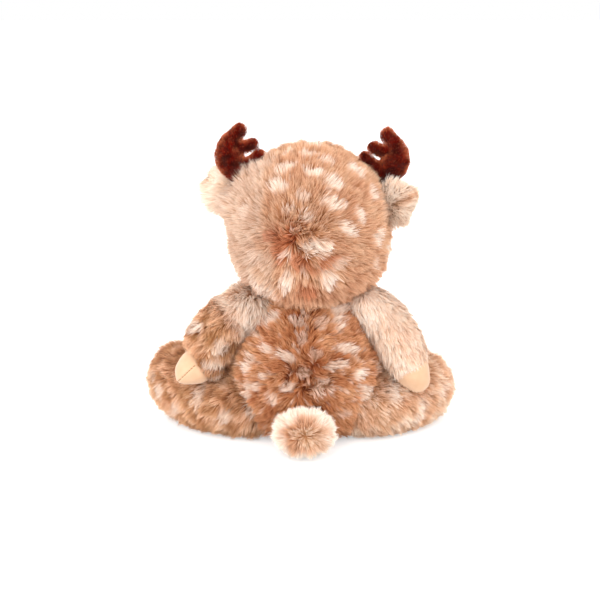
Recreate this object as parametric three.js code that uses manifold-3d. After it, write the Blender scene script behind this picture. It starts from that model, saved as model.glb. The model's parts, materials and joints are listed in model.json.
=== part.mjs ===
// A seated plush deer, sewn from spotted fur fabric: a ball head on a pear body, two arms, two bent legs,
// suede hooves, a round tail, leaf ears, velvet antlers, a short muzzle and eyes held by lock washers.
// Millimetres, +Z up. The deer faces -Y, its left side is +X, and it sits on the plane z = 0.

import * as THREE from 'three';
import { mergeVertices } from 'three/addons/utils/BufferGeometryUtils.js';
import Module from 'manifold-3d';

const wasm = await Module();
wasm.setup();

// Fabrics and seams
const sewnGap = 0.3; // between pieces that are sewn or pressed together
const swingGap = 0.7; // round a form that turns inside another
const plushWall = 6; // fur fabric: backing and pile together
const shortPlushWall = 3; // clipped plush of the muzzle
const suedeWall = 1.6; // hoof caps
const overrun = 4; // how far a cutter runs past what it cuts

// Body
const torsoSpineHeight = 84; // between the body's rounded ends
const torsoSeatLift = 24; // lower end of that spine over the floor
const torsoHalfWidth = 61;
const torsoHalfDepth = 48;
const torsoSeatRound = 27; // depth of the rounded lower end
const torsoNeckRound = 22;
const torsoLean = -5; // how far the neck stands forward of the seat
const sideSeamForward = 14; // side seams in front of the body's middle
const torsoSwellShares = [0.93, 1, 1.02, 0.99, 0.9, 0.79, 0.67];
const seatShift = 4; // how far the toy has slumped to its left

// Head
const headRadius = 66;
const headSink = 16; // how deep the head sits in the top of the body
const headForward = 5;
const faceSeamForward = 3; // seam from ear to ear in front of the head's middle
const neckOpeningRadius = 15;
const neckPlugRadius = 19;
const neckPlugDepth = 14;

// Seat weight
const pelletBagHalfWidth = 33;
const pelletBagHalfDepth = 26;
const pelletBagHeight = 20;

// Arms
const shoulderRise = 3.5; // over the upper end of the body's spine
const shoulderHeight = torsoSeatLift + torsoSpineHeight + shoulderRise;
const shoulderOut = 46.5;
const shoulderBack = 5; // behind the body's middle
const armRadius = 19;
const armReach = 66; // from the shoulder to the hoof's cuff
const armSwellShares = [0.82, 0.94, 1.01, 1.05, 1.02, 0.86];
const armHoofLength = 15; // past the cuff, without its rounded tip
const armHoofRadius = 14.5;
const armHoofTip = 7;
// Each arm's course in shares of its reach: out, back and up from the shoulder.
const armCourseShares = {
  left: [[0, 0, 0], [0.24, 0.06, -0.09], [0.54, 0.16, -0.43], [0.67, 0.26, -0.7]],
  right: [[0, 0, 0], [0.2, 0.06, -0.12], [0.41, 0.15, -0.43], [0.55, 0.25, -0.73]],
};
// Where each hoof points, out, back and up.
const armHoofCourses = { left: [0.86, 0.06, -0.5], right: [0.5, 0.1, -0.86] };
const armLift = 50; // degrees from hanging to raised sideways
const armRootShare = 0.42; // the part of the arm that dents the body as it swings

// All four hooves
const hoofSwellShares = [1, 1, 0.96, 0.86, 0.68];
const hoofFlatShare = 0.97;

// Legs
const hipHeight = 27;
const hipOut = 46;
const hipBack = 6;
const legRadius = 28.5;
const legReach = 112; // from the hip round the knee to the foot
const legSwellShares = [0.84, 0.96, 1, 1.01, 0.98, 0.84];
// Each leg's course in shares of its reach: out, back and up from the hip.
const legCourseShares = {
  left: [[0, 0, 0], [0.14, -0.05, 0.01], [0.36, -0.23, 0.025], [0.53, -0.46, 0.06], [0.57, -0.68, 0.1]],
  right: [[0, 0, 0], [0.14, -0.05, 0.01], [0.31, -0.2, 0.01], [0.46, -0.41, 0.015], [0.495, -0.63, 0.02]],
};
const legHoofCourses = { left: [0.02, -1, 0.14], right: [0.03, -1, 0.08] };
const legHoofLength = 18;
const legHoofRadius = 22;
const legHoofTip = 12;
const legClose = 20; // degrees from splayed to nearly straight ahead
const legRootShare = 0.42; // the part of the leg that dents the body as it swings

// Tail
const tailHeight = 21.5;
const tailRootRound = 11.1; // how far its root reaches into the body
const tailOpeningRadius = 5;
const tailRadius = 23.5;
const tailFlatShare = 0.73;
const tailReach = 24;
const tailRound = 14;
const tailSwing = 12;
const tailRootShare = 0.3;
const tailSwellShares = [0.45, 0.66, 0.9, 1, 0.96];

// Ears
const earReach = 17;
const earHalfWidth = 18;
const earHalfThickness = 6;
const earRound = 7.5;
const earSink = 1.5; // how far the ear's root is pressed in
const earSwellShares = [0.74, 0.97, 0.98, 0.74];
const earSwing = 15;
const earRise = { left: 22, right: 13 }; // degrees over the head's middle, seen from the front
const earTurn = { left: -7, right: 12 }; // degrees the ear turns back
const earTilt = { left: 2, right: 14 }; // degrees the ear points over its own root's direction
const earFold = { left: -28, right: 38 }; // degrees the ear points back

// Antlers
const antlerHalfThickness = 5.5;
const antlerBeamRadius = 10.8;
const antlerTineRadius = 4.5;
const antlerHeight = 35; // from the root to the middle of the top tine's round end
const antlerRise = { left: 36, right: 32 }; // degrees over the head's middle, seen from the front
const antlerTurn = { left: 7, right: 4 }; // degrees its root stands back
const antlerTilt = { left: 0, right: 6 }; // degrees the antler leans out
const antlerSwing = 12;
const antlerSwellShares = [0.7, 0.95, 1, 0.78, 0.54, 0.45];
const antlerTineSwellShares = [1.15, 1.03, 1];
// The beam curls up and in again. Shares of the antler's height: out and up from its root.
const antlerCourseShares = [[0, 0], [0.13, 0.23], [0.21, 0.49], [0.15, 0.74], [0.02, 0.9], [-0.07, 1]];
const antlerTineShares = [
  [[0.11, 0.57], [-0.11, 0.6], [-0.34, 0.66]],
  [[0.06, 0.14], [-0.23, 0.2], [-0.51, 0.41]],
];

// Face
const muzzleHalfWidth = 25;
const muzzleHalfHeight = 19;
const muzzleReach = 27; // past the head's surface
const muzzleDrop = 17;
const muzzleRound = 20;
const muzzleSwellShares = [0.9, 1, 0.98, 0.86];
const noseRise = 6.3; // over the muzzle's middle
const noseHalfWidth = 8.5;
const noseHalfHeight = 6;
const noseThickness = 5;
const eyeRadius = 6.5;
const eyeDome = 4.6;
const eyeSeat = 3.4; // how deep the eye's rim sits in the pile
const eyeRimThickness = 0.85;
const eyeShankRadius = 1.9;
const eyeShankLength = 9;
const eyeSide = 27; // degrees from straight ahead
const eyeRise = 6;
const washerRadius = 7;
const washerThickness = 1.4;

// Facets and rings
const torsoFacets = 22;
const torsoCoreFacets = 14;
const headFacets = 24;
const headCoreFacets = 16;
const limbFacets = 14;
const hoofFacets = 12;
const coreFacets = 10;
const eyeFacets = 16;
const socketFacets = 24;
const ringsOf = { torso: 6, pelletBag: 2, arm: 6, leg: 8, hoof: 4, tail: 4, ear: 4, antler: 7, tine: 3, muzzle: 4, nose: 2 };
const roundRings = 4; // in the rounded end of a large form
const smallRoundRings = 3;
const coreRingShare = 0.6; // rings inside a form, of those outside it

const zAxis = new THREE.Vector3(0, 0, 1);
const xAxis = new THREE.Vector3(1, 0, 0);
const yAxis = new THREE.Vector3(0, 1, 0);
const sides = { left: 1, right: -1 };
const weldReach = 1e-4;

// A closed three.js geometry as a solid that can be joined and cut.
function solidOf(geometry) {
  const bare = geometry.clone();
  bare.deleteAttribute('normal');
  bare.deleteAttribute('uv');
  const merged = mergeVertices(bare, weldReach);
  return new wasm.Manifold(new wasm.Mesh({
    numProp: 3,
    vertProperties: merged.attributes.position.array,
    triVerts: new Uint32Array(merged.index.array),
  }));
}

function geometryOf(solid) {
  const mesh = solid.getMesh();
  const geometry = new THREE.BufferGeometry();
  geometry.setAttribute('position', new THREE.BufferAttribute(new Float32Array(mesh.vertProperties), 3));
  geometry.setIndex(new THREE.BufferAttribute(new Uint32Array(mesh.triVerts), 1));
  return geometry;
}

const join = (solids) => solids.reduce((all, next) => all.add(next));
const pointOf = (share, size) => new THREE.Vector3(...share).multiplyScalar(size);
const radians = THREE.MathUtils.degToRad;

// The two ends and the middle of a straight spine
const straight = (foot, way, length) => [0, 0.5, 1].map((share) => foot.clone().addScaledVector(way, length * share));

// A radius that swells and tapers smoothly through shares listed at equal steps of the length.
function swelling(size, shares) {
  const steps = shares.map((_, i) => i / (shares.length - 1));
  const smooth = new THREE.CubicInterpolant(steps, shares, 1);
  return (along) => size * smooth.evaluate(THREE.MathUtils.clamp(along, 0, 1))[0];
}

// A stuffed form along a spine with rounded ends. Its sections are ovals: halfWidth runs across the spine and
// the flat direction, flatShare sets the half thickness in the flat direction. Calling the form with a growth
// gives the same form inside (-) or outside (+) of it by that distance.
function stuffedForm({ spine, halfWidth, flatShare = 1, flat = yAxis, startRound, endRound, rings, capRings = roundRings }) {
  const curve = new THREE.CatmullRomCurve3(spine);
  const length = curve.getLength();

  function section(distance, radius, share, grow, facets) {
    const along = THREE.MathUtils.clamp(distance / length, 0, 1);
    const tangent = curve.getTangentAt(along);
    const centre = curve.getPointAt(along).addScaledVector(tangent, distance - along * length);
    const flatWay = flat.clone().addScaledVector(tangent, -flat.dot(tangent)).normalize();
    const wideWay = new THREE.Vector3().crossVectors(flatWay, tangent);
    const wide = (radius + grow) * share;
    const thick = (radius * flatShare + grow) * share;
    return Array.from({ length: facets }, (_, i) => {
      const turn = (2 * Math.PI * i) / facets;
      return centre.clone()
        .addScaledVector(wideWay, wide * Math.cos(turn))
        .addScaledVector(flatWay, thick * Math.sin(turn));
    });
  }

  function grown(grow = 0, facets = limbFacets, ringShare = 1) {
    const spans = Math.ceil(rings * ringShare);
    const capSpans = Math.ceil(capRings * ringShare);
    const stations = [];
    for (let k = 1; k <= capSpans; k++) {
      const turn = (Math.PI / 2) * (k / capSpans);
      stations.push([-(startRound + grow) * Math.cos(turn), Math.sin(turn)]);
    }
    for (let k = 1; k < spans; k++) stations.push([(length * k) / spans, 1]);
    for (let k = capSpans; k >= 1; k--) {
      const turn = (Math.PI / 2) * (k / capSpans);
      stations.push([length + (endRound + grow) * Math.cos(turn), Math.sin(turn)]);
    }
    const pole = (distance) => section(distance, 0, 0, 0, 1)[0];
    const points = [pole(-startRound - grow), pole(length + endRound + grow)];
    for (const [distance, share] of stations) {
      points.push(...section(distance, halfWidth(distance / length), share, grow, facets));
    }
    const faces = [];
    const at = (ring, i) => 2 + ring * facets + (i % facets);
    for (let i = 0; i < facets; i++) {
      faces.push(0, at(0, i + 1), at(0, i), 1, at(stations.length - 1, i), at(stations.length - 1, i + 1));
      for (let ring = 0; ring + 1 < stations.length; ring++) {
        faces.push(at(ring, i), at(ring + 1, i + 1), at(ring + 1, i));
        faces.push(at(ring, i), at(ring, i + 1), at(ring + 1, i + 1));
      }
    }
    const geometry = new THREE.BufferGeometry().setFromPoints(points);
    geometry.setIndex(faces);
    return solidOf(geometry);
  }
  grown.curve = curve;
  return grown;
}

// The inside of a form, with fewer facets
const inside = (form, grow) => form(grow, coreFacets, coreRingShare);

function ball(centre, radius, facets = limbFacets) {
  const rows = Math.round(facets / 2);
  const geometry = new THREE.SphereGeometry(radius, facets, rows).rotateX(Math.PI / 2);
  return solidOf(geometry.translate(centre.x, centre.y, centre.z));
}

// A solid turned about a line, whose profile runs up the line as [radius, height] pairs.
function turned(profile, foot, way, facets) {
  const geometry = new THREE.LatheGeometry(profile.map(([r, h]) => new THREE.Vector2(r, h)), facets);
  geometry.applyQuaternion(new THREE.Quaternion().setFromUnitVectors(yAxis, way));
  return solidOf(geometry.translate(foot.x, foot.y, foot.z));
}

const rod = (foot, way, radius, length, facets = socketFacets) =>
  turned([[0, 0], [radius, 0], [radius, length], [0, length]], foot, way, facets);

const above = (solid, height) => solid.trimByPlane([0, 0, 1], height);
const beyond = (solid, point, way) => solid.trimByPlane(way.toArray(), way.dot(point));

function turnedBy(solid, pivot, axis, degrees) {
  const turn = new THREE.Matrix4().makeRotationAxis(axis, radians(degrees));
  const move = new THREE.Matrix4().makeTranslation(pivot);
  const back = new THREE.Matrix4().makeTranslation(pivot.clone().negate());
  return solid.transform(move.multiply(turn).multiply(back).elements);
}

// Body
const torsoFoot = new THREE.Vector3(seatShift, 0, torsoSeatLift);
const torsoTop = new THREE.Vector3(0, torsoLean, torsoSeatLift + torsoSpineHeight);
const torsoWidth = swelling(torsoHalfWidth, torsoSwellShares);
const torsoForm = stuffedForm({
  spine: [torsoFoot, torsoFoot.clone().lerp(torsoTop, 0.5), torsoTop],
  halfWidth: torsoWidth,
  flatShare: torsoHalfDepth / torsoHalfWidth,
  startRound: torsoSeatRound,
  endRound: torsoNeckRound,
  rings: ringsOf.torso,
});
const torsoWidthAt = (height) => torsoWidth((height - torsoSeatLift) / torsoSpineHeight);
const torsoMiddleAt = (height) => (torsoLean * (height - torsoSeatLift)) / torsoSpineHeight;

// Head, whose underside is part of a ball so that it can turn and nod in the top of the body
const headCentre = new THREE.Vector3(0, -headForward, torsoTop.z + torsoNeckRound - headSink + headRadius);
const headBall = (grow = 0, facets = headFacets) => ball(headCentre, headRadius + grow, facets);
const down = zAxis.clone().negate();
const onHead = (side, rise, turnBack = 0) => new THREE.Vector3(
  side * Math.cos(radians(rise)) * Math.cos(radians(turnBack)),
  Math.cos(radians(rise)) * Math.sin(radians(turnBack)),
  Math.sin(radians(rise)),
);

// Arms and legs: each is a form for its sleeve, one for its hoof, and the way it swings
const mirrored = ([x, y, z], side, size) => pointOf([side * x, y, z], size);

function limbOf({ name, side, pivot, course, reach, radius, shares, hoofWay, hoof, ...rest }) {
  const spine = course.map((share) => mirrored(share, side, reach).add(pivot));
  const way = mirrored(hoofWay, side, 1).normalize();
  return {
    name,
    pivot,
    radius,
    shares,
    form: stuffedForm({ spine, halfWidth: swelling(radius, shares), startRound: radius * shares[0], ...rest.sleeve }),
    hoofForm: stuffedForm({
      spine: straight(spine.at(-1), way, hoof.length),
      halfWidth: swelling(hoof.radius, hoofSwellShares),
      flatShare: hoofFlatShare,
      flat: rest.sleeve.flat,
      startRound: hoof.radius / 2,
      endRound: hoof.tip,
      rings: ringsOf.hoof,
      capRings: smallRoundRings,
    }),
    ...rest.swinging,
  };
}

const arms = Object.entries(sides).map(([name, side]) => limbOf({
  name: `arm_${name}`,
  side,
  pivot: new THREE.Vector3(side * shoulderOut, torsoMiddleAt(shoulderHeight) + shoulderBack, shoulderHeight),
  course: armCourseShares[name],
  reach: armReach,
  radius: armRadius,
  shares: armSwellShares,
  hoofWay: armHoofCourses[name],
  hoof: { length: armHoofLength, radius: armHoofRadius, tip: armHoofTip },
  sleeve: { endRound: armRadius, rings: ringsOf.arm },
  swinging: {
    joint: 'lift',
    axis: yAxis.clone().multiplyScalar(-side),
    swing: [0, armLift / 2, armLift],
    rootShare: armRootShare,
  },
}));

const legs = Object.entries(sides).map(([name, side]) => limbOf({
  name: `leg_${name}`,
  side,
  pivot: new THREE.Vector3(seatShift + side * hipOut, hipBack, hipHeight),
  course: legCourseShares[name],
  reach: legReach,
  radius: legRadius,
  shares: legSwellShares,
  hoofWay: legHoofCourses[name],
  hoof: { length: legHoofLength, radius: legHoofRadius, tip: legHoofTip },
  sleeve: { endRound: legRadius / 2, rings: ringsOf.leg, flat: zAxis },
  swinging: {
    joint: 'close',
    axis: zAxis.clone().multiplyScalar(-side),
    swing: [0, legClose / 2, legClose],
    rootShare: legRootShare,
  },
}));

// Tail
const tailPivot = new THREE.Vector3(
  seatShift,
  torsoMiddleAt(tailHeight) + torsoWidthAt(tailHeight) * (torsoHalfDepth / torsoHalfWidth),
  tailHeight,
);
const tail = {
  name: 'tail',
  pivot: tailPivot,
  radius: tailRadius,
  shares: tailSwellShares,
  form: stuffedForm({
    spine: straight(tailPivot, yAxis, tailReach),
    halfWidth: swelling(tailRadius, tailSwellShares),
    flat: zAxis,
    flatShare: tailFlatShare,
    startRound: tailRootRound,
    endRound: tailRound,
    rings: ringsOf.tail,
  }),
  joint: 'wag',
  axis: zAxis,
  swing: [-tailSwing, 0, tailSwing],
  rootShare: tailRootShare,
};

const limbs = [...arms, ...legs, tail];

// How far the middle of a facet stands inside the round form; a ball's facets do so both ways round
const facetSag = (radius, facets) => radius * (1 - Math.cos(Math.PI / facets));

// The hollow that a limb's root needs in the body through the limb's whole swing: the hull of a ball round the
// point it turns about, and of balls round its root's middle and far end as they travel
function swingRoom({ form, radius, shares, pivot, axis, swing, rootShare }, grow) {
  const room = (centre, size) => {
    const across = size + swingGap + grow;
    return ball(centre, across + 2 * facetSag(across, coreFacets), coreFacets);
  };
  const widths = swelling(radius, shares);
  const travelling = [rootShare / 2, rootShare].flatMap((share) => {
    const round = room(form.curve.getPointAt(share), widths(share));
    return swing.map((degrees) => turnedBy(round, pivot, axis, degrees));
  });
  return wasm.Manifold.hull([room(pivot, widths(0)), ...travelling]);
}

// Everything that presses into the body, grown by a distance
const dents = (grow) => join([headBall(swingGap + grow, socketFacets), ...limbs.map((limb) => swingRoom(limb, grow))]);

// What is left of an ear or antler once the head has room as it swings
function clearOfHead(solid, pivot, hinge, swing) {
  const room = headBall(swingGap);
  const swung = [-swing, swing].map((degrees) => turnedBy(room, pivot, hinge, degrees));
  return solid.subtract(join([headBall(sewnGap), ...swung]));
}

const toy = new THREE.Group();
toy.name = 'plush_deer';

// A moving part of the toy: its pieces are placed from the point it turns about.
function bodyAt(pivot, parent, joint) {
  const group = new THREE.Group();
  group.position.copy(pivot).sub(parent.userData.pivot ?? new THREE.Vector3());
  group.userData = { pivot, joint };
  parent.add(group);
  return group;
}

function addPiece(group, name, solid, material) {
  const { x, y, z } = group.userData.pivot;
  const mesh = new THREE.Mesh(geometryOf(solid).translate(-x, -y, -z), material);
  mesh.name = name;
  group.add(mesh);
}

const fabric = (color, roughness = 0.95) => new THREE.MeshStandardMaterial({ color, roughness, metalness: 0 });
const spottedFur = fabric('#c98f66');
const creamFur = fabric('#ecd2b4');
const creamSuede = fabric('#f0d3a2', 0.85);
const brownVelvet = fabric('#5a1a0c', 0.8);
const fibre = fabric('#f4f2ee', 1);
const pelletCotton = fabric('#dcd8cf', 0.9);
const eyeGloss = new THREE.MeshStandardMaterial({ color: '#120b08', roughness: 0.12, metalness: 0 });
const washerPlastic = new THREE.MeshStandardMaterial({ color: '#e9e7e0', roughness: 0.5, metalness: 0 });

const torso = bodyAt(new THREE.Vector3(), toy);
const neck = bodyAt(headCentre, torso, { name: 'head_turn', axis: zAxis });
const head = bodyAt(headCentre, neck, { name: 'head_nod', axis: xAxis });

// Body panels and what they hold
{
  const cavity = above(torsoForm(-plushWall, torsoCoreFacets, coreRingShare).subtract(dents(plushWall)), plushWall);
  const well = rod(torsoTop.clone().setZ(headCentre.z), down, neckPlugRadius + swingGap,
    headRadius + neckPlugDepth + swingGap);
  const outer = above(torsoForm(0, torsoFacets).subtract(dents(0)), 0);
  const skin = outer.subtract(cavity).subtract(well);
  const seam = new THREE.Vector3(0, -sideSeamForward, 0);
  const halfGap = yAxis.clone().multiplyScalar(sewnGap / 2);
  addPiece(torso, 'torso_back_panel', beyond(skin, seam.clone().add(halfGap), yAxis), spottedFur);
  addPiece(torso, 'torso_belly_panel', beyond(skin, seam.clone().sub(halfGap), yAxis.clone().negate()), creamFur);

  const inner = plushWall + sewnGap;
  const bagFoot = torsoFoot.clone().setZ(inner); // its underside is cut flat there
  const bag = (grow) => stuffedForm({
    spine: straight(bagFoot, zAxis, pelletBagHeight / 2),
    halfWidth: () => pelletBagHalfWidth,
    flatShare: pelletBagHalfDepth / pelletBagHalfWidth,
    startRound: pelletBagHeight / 2,
    endRound: pelletBagHeight / 2,
    rings: ringsOf.pelletBag,
  })(grow, limbFacets);
  const room = above(torsoForm(-inner, torsoCoreFacets, coreRingShare).subtract(dents(inner)), inner);
  addPiece(torso, 'torso_stuffing', room.subtract(well).subtract(bag(sewnGap)), fibre);
  addPiece(torso, 'seat_pellet_bag', room.intersect(bag(0)), pelletCotton);

  const plug = rod(torsoTop.clone().setZ(headCentre.z), down, neckPlugRadius, headRadius + neckPlugDepth);
  addPiece(neck, 'neck_stuffing', plug.subtract(headBall(swingGap, socketFacets)), fibre);
}

// Eyes on their shanks, each locked by a washer behind the fabric
const eyeBores = [];
const eyePockets = [];
for (const [name, side] of Object.entries(sides)) {
  const way = new THREE.Vector3(side * Math.sin(radians(eyeSide)), -Math.cos(radians(eyeSide)), 0)
    .multiplyScalar(Math.cos(radians(eyeRise))).setZ(Math.sin(radians(eyeRise)));
  const rim = headRadius - eyeSeat;
  const foot = headCentre.clone().addScaledVector(way, rim - eyeShankLength);
  const domeSteps = [0, 0.25, 0.5, 0.75, 1];
  const dome = domeSteps.map((step) => {
    const turn = (Math.PI / 2) * step;
    return [eyeRadius * Math.cos(turn), eyeShankLength + eyeDome * Math.sin(turn)];
  });
  dome[dome.length - 1][0] = 0;
  const rimFoot = eyeShankLength - eyeRimThickness;
  const shankProfile = (grow) => [[0, -grow], [eyeShankRadius + grow, -grow],
    [eyeShankRadius + grow, rimFoot - grow], [eyeRadius + grow, rimFoot - grow]];
  addPiece(head, `eye_${name}`, turned([...shankProfile(0), ...dome], foot, way, eyeFacets), eyeGloss);
  const seatTop = eyeShankLength + eyeSeat + eyeDome + overrun;
  const bored = [...shankProfile(sewnGap), [eyeRadius + sewnGap, seatTop], [0, seatTop]];
  eyeBores.push(turned(bored, foot, way, eyeFacets));

  const lining = headRadius - plushWall - 2 * facetSag(headRadius, headCoreFacets);
  const backing = headCentre.clone().addScaledVector(way, Math.sqrt(lining ** 2 - washerRadius ** 2) - sewnGap);
  const washerFoot = backing.clone().addScaledVector(way, -washerThickness);
  const bore = eyeShankRadius + sewnGap;
  addPiece(head, `eye_washer_${name}`, turned([[bore, 0], [washerRadius, 0], [washerRadius, washerThickness],
    [bore, washerThickness], [bore, 0]], washerFoot, way, hoofFacets), washerPlastic);
  const inward = way.clone().negate();
  const pocketTop = headCentre.clone().addScaledVector(way, headRadius);
  eyePockets.push(rod(pocketTop, inward, washerRadius + sewnGap, pocketTop.distanceTo(washerFoot) + sewnGap, hoofFacets));
  eyePockets.push(rod(backing, inward, eyeShankRadius + sewnGap, eyeShankLength, hoofFacets));
}

// Head
{
  const inner = plushWall + sewnGap;
  const opening = rod(headCentre, down, neckOpeningRadius, headRadius + overrun);
  const filling = rod(headCentre, down, neckOpeningRadius - sewnGap, headRadius + overrun).intersect(headBall(0));
  const skin = headBall(0).subtract(headBall(-plushWall, headCoreFacets)).subtract(opening)
    .subtract(join(eyeBores));
  const seam = headCentre.clone().addScaledVector(yAxis, -faceSeamForward);
  const halfGap = yAxis.clone().multiplyScalar(sewnGap / 2);
  addPiece(head, 'head_back_panel', beyond(skin, seam.clone().add(halfGap), yAxis), spottedFur);
  addPiece(head, 'head_face_panel', beyond(skin, seam.clone().sub(halfGap), yAxis.clone().negate()), creamFur);
  const core = headBall(-inner, headCoreFacets).add(filling);
  addPiece(head, 'head_stuffing', core.subtract(join(eyePockets)), fibre);
}

// Muzzle and nose
{
  const ahead = yAxis.clone().negate();
  const root = headCentre.clone().add(new THREE.Vector3(0, -headRadius / 2, -muzzleDrop));
  const tipDistance = headRadius / 2 + muzzleReach;
  const muzzleForm = stuffedForm({
    spine: straight(root, ahead, tipDistance - muzzleRound),
    halfWidth: swelling(muzzleHalfWidth, muzzleSwellShares),
    flatShare: muzzleHalfHeight / muzzleHalfWidth,
    flat: zAxis,
    startRound: muzzleHalfHeight / 2,
    endRound: muzzleRound,
    rings: ringsOf.muzzle,
  });
  const outside = muzzleForm(0).subtract(headBall(sewnGap));
  addPiece(head, 'muzzle_skin', outside.subtract(inside(muzzleForm, -shortPlushWall)), creamFur);
  const filling = inside(muzzleForm, -shortPlushWall - sewnGap).subtract(headBall(sewnGap));
  addPiece(head, 'muzzle_stuffing', filling, fibre);
  const noseFoot = root.clone().addScaledVector(ahead, tipDistance - noseThickness)
    .addScaledVector(zAxis, noseRise);
  const nose = stuffedForm({
    spine: straight(noseFoot, ahead, noseThickness),
    halfWidth: () => noseHalfWidth,
    flatShare: noseHalfHeight / noseHalfWidth,
    flat: zAxis,
    startRound: noseThickness,
    endRound: noseThickness / 2,
    rings: ringsOf.nose,
    capRings: smallRoundRings,
  });
  addPiece(head, 'nose', nose(0, hoofFacets).subtract(muzzleForm(sewnGap)), brownVelvet);
}

// Ears: a furry back and a clipped lining, sewn round the edge
for (const [name, side] of Object.entries(sides)) {
  const way = onHead(side, earRise[name], earTurn[name]);
  const rootThickness = earHalfThickness * earSwellShares[0];
  const pivot = headCentre.clone().addScaledVector(way, headRadius + sewnGap + rootThickness - earSink);
  const hinge = new THREE.Vector3().crossVectors(yAxis, way).normalize().multiplyScalar(side);
  const point = onHead(side, earRise[name] + earTilt[name], earFold[name]);
  const flat = new THREE.Vector3().crossVectors(point, hinge).normalize();
  const ear = bodyAt(pivot, head, { name: `ear_${name}_flap`, axis: hinge });
  const form = stuffedForm({
    spine: straight(pivot, point, earReach),
    halfWidth: swelling(earHalfWidth, earSwellShares),
    flatShare: earHalfThickness / earHalfWidth,
    flat,
    startRound: rootThickness,
    endRound: earRound,
    rings: ringsOf.ear,
  })(0, hoofFacets);
  const backWay = flat.clone().multiplyScalar(Math.sign(flat.y));
  const halfGap = backWay.clone().multiplyScalar(sewnGap / 2);
  const clear = clearOfHead(form, pivot, hinge, earSwing);
  addPiece(ear, `ear_back_${name}`, beyond(clear, pivot.clone().add(halfGap), backWay), spottedFur);
  addPiece(ear, `ear_lining_${name}`, beyond(clear, pivot.clone().sub(halfGap), backWay.clone().negate()), creamFur);
}

// Antlers: a curled beam with two tines, front and back panels sewn round the rim
for (const [name, side] of Object.entries(sides)) {
  const way = onHead(side, antlerRise[name], antlerTurn[name]);
  const pivot = headCentre.clone().addScaledVector(way, headRadius + sewnGap + antlerHalfThickness);
  const hinge = new THREE.Vector3().crossVectors(yAxis, way).normalize().multiplyScalar(side);
  const antler = bodyAt(pivot, head, { name: `antler_${name}_bend`, axis: hinge });
  const place = ([out, up]) => pointOf([side * out, 0, up], antlerHeight)
    .applyAxisAngle(yAxis, side * radians(antlerTilt[name])).add(pivot);
  const lobe = (course, radius, shares, rings) => stuffedForm({
    spine: course.map(place),
    halfWidth: swelling(radius, shares),
    flatShare: antlerHalfThickness / antlerBeamRadius,
    startRound: antlerHalfThickness,
    endRound: radius * shares.at(-1),
    rings,
    capRings: smallRoundRings,
  })(0, coreFacets);
  const lobes = [lobe(antlerCourseShares, antlerBeamRadius, antlerSwellShares, ringsOf.antler)];
  for (const course of antlerTineShares) {
    lobes.push(lobe(course, antlerTineRadius, antlerTineSwellShares, ringsOf.tine));
  }
  const clear = clearOfHead(join(lobes), pivot, hinge, antlerSwing);
  const halfGap = yAxis.clone().multiplyScalar(sewnGap / 2);
  addPiece(antler, `antler_back_${name}`, beyond(clear, pivot.clone().add(halfGap), yAxis), brownVelvet);
  const front = beyond(clear, pivot.clone().sub(halfGap), yAxis.clone().negate());
  addPiece(antler, `antler_front_${name}`, front, brownVelvet);
}

// Arms and legs: a fur sleeve, a suede hoof cap at its end, and one filling for both
for (const { name, pivot, joint, axis, form, hoofForm } of [...arms, ...legs]) {
  const limb = bodyAt(pivot, torso, { name: `${name}_${joint}`, axis });
  const cuff = hoofForm.curve.getPointAt(0);
  const way = hoofForm.curve.getTangentAt(0);
  const cuffBack = cuff.clone().addScaledVector(way, -sewnGap);
  const sleeveSide = way.clone().negate();
  const sleeve = beyond(form(0).subtract(inside(form, -plushWall)), cuffBack, sleeveSide);
  addPiece(limb, `${name}_sleeve`, above(sleeve, 0), spottedFur);
  const cap = beyond(hoofForm(0, hoofFacets), cuff, way);
  addPiece(limb, `${name}_hoof`, cap.subtract(inside(hoofForm, -suedeWall)), creamSuede);
  const sleeveInside = inside(form, -plushWall - sewnGap);
  const hoofInside = inside(hoofForm, -suedeWall - sewnGap);
  const neckInside = sleeveInside.intersect(hoofInside); // fills the gap at the cuff
  const filling = [beyond(sleeveInside, cuffBack, sleeveSide), neckInside, beyond(hoofInside, cuff, way)];
  addPiece(limb, `${name}_stuffing`, join(filling), fibre);
}

// Tail
{
  const { form, pivot, axis } = tail;
  const pom = bodyAt(pivot, torso, { name: 'tail_wag', axis });
  const inner = plushWall + sewnGap;
  const opening = rod(pivot, yAxis.clone().negate(), tailOpeningRadius, tailRadius + overrun);
  addPiece(pom, 'tail_skin', form(0).subtract(inside(form, -plushWall)).subtract(opening), spottedFur);
  addPiece(pom, 'tail_stuffing', inside(form, -inner), fibre);
}

export default toy;
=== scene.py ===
# Seated plush deer: long-pile fur, suede hooves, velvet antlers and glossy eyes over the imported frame.
import json
import math

import bmesh
import bpy
import numpy as np
from mathutils import Matrix, Vector, bvhtree, kdtree


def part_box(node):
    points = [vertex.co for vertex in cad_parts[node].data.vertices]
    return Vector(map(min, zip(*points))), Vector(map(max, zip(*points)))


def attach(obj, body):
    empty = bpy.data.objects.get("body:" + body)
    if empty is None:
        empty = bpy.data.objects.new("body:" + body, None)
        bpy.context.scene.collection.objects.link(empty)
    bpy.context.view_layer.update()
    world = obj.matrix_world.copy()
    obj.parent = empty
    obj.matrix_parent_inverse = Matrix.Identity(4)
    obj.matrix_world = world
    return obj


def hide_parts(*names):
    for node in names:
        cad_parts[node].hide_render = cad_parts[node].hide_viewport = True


mm = 0.001
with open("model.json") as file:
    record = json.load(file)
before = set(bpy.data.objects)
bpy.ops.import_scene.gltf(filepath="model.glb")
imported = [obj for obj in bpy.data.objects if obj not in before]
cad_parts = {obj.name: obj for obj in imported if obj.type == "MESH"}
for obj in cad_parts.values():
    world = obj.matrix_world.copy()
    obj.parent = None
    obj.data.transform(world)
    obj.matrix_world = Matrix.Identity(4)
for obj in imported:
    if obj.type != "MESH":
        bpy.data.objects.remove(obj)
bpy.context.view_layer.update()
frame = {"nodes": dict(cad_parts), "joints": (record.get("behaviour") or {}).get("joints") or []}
nodes = frame["nodes"]
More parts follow.
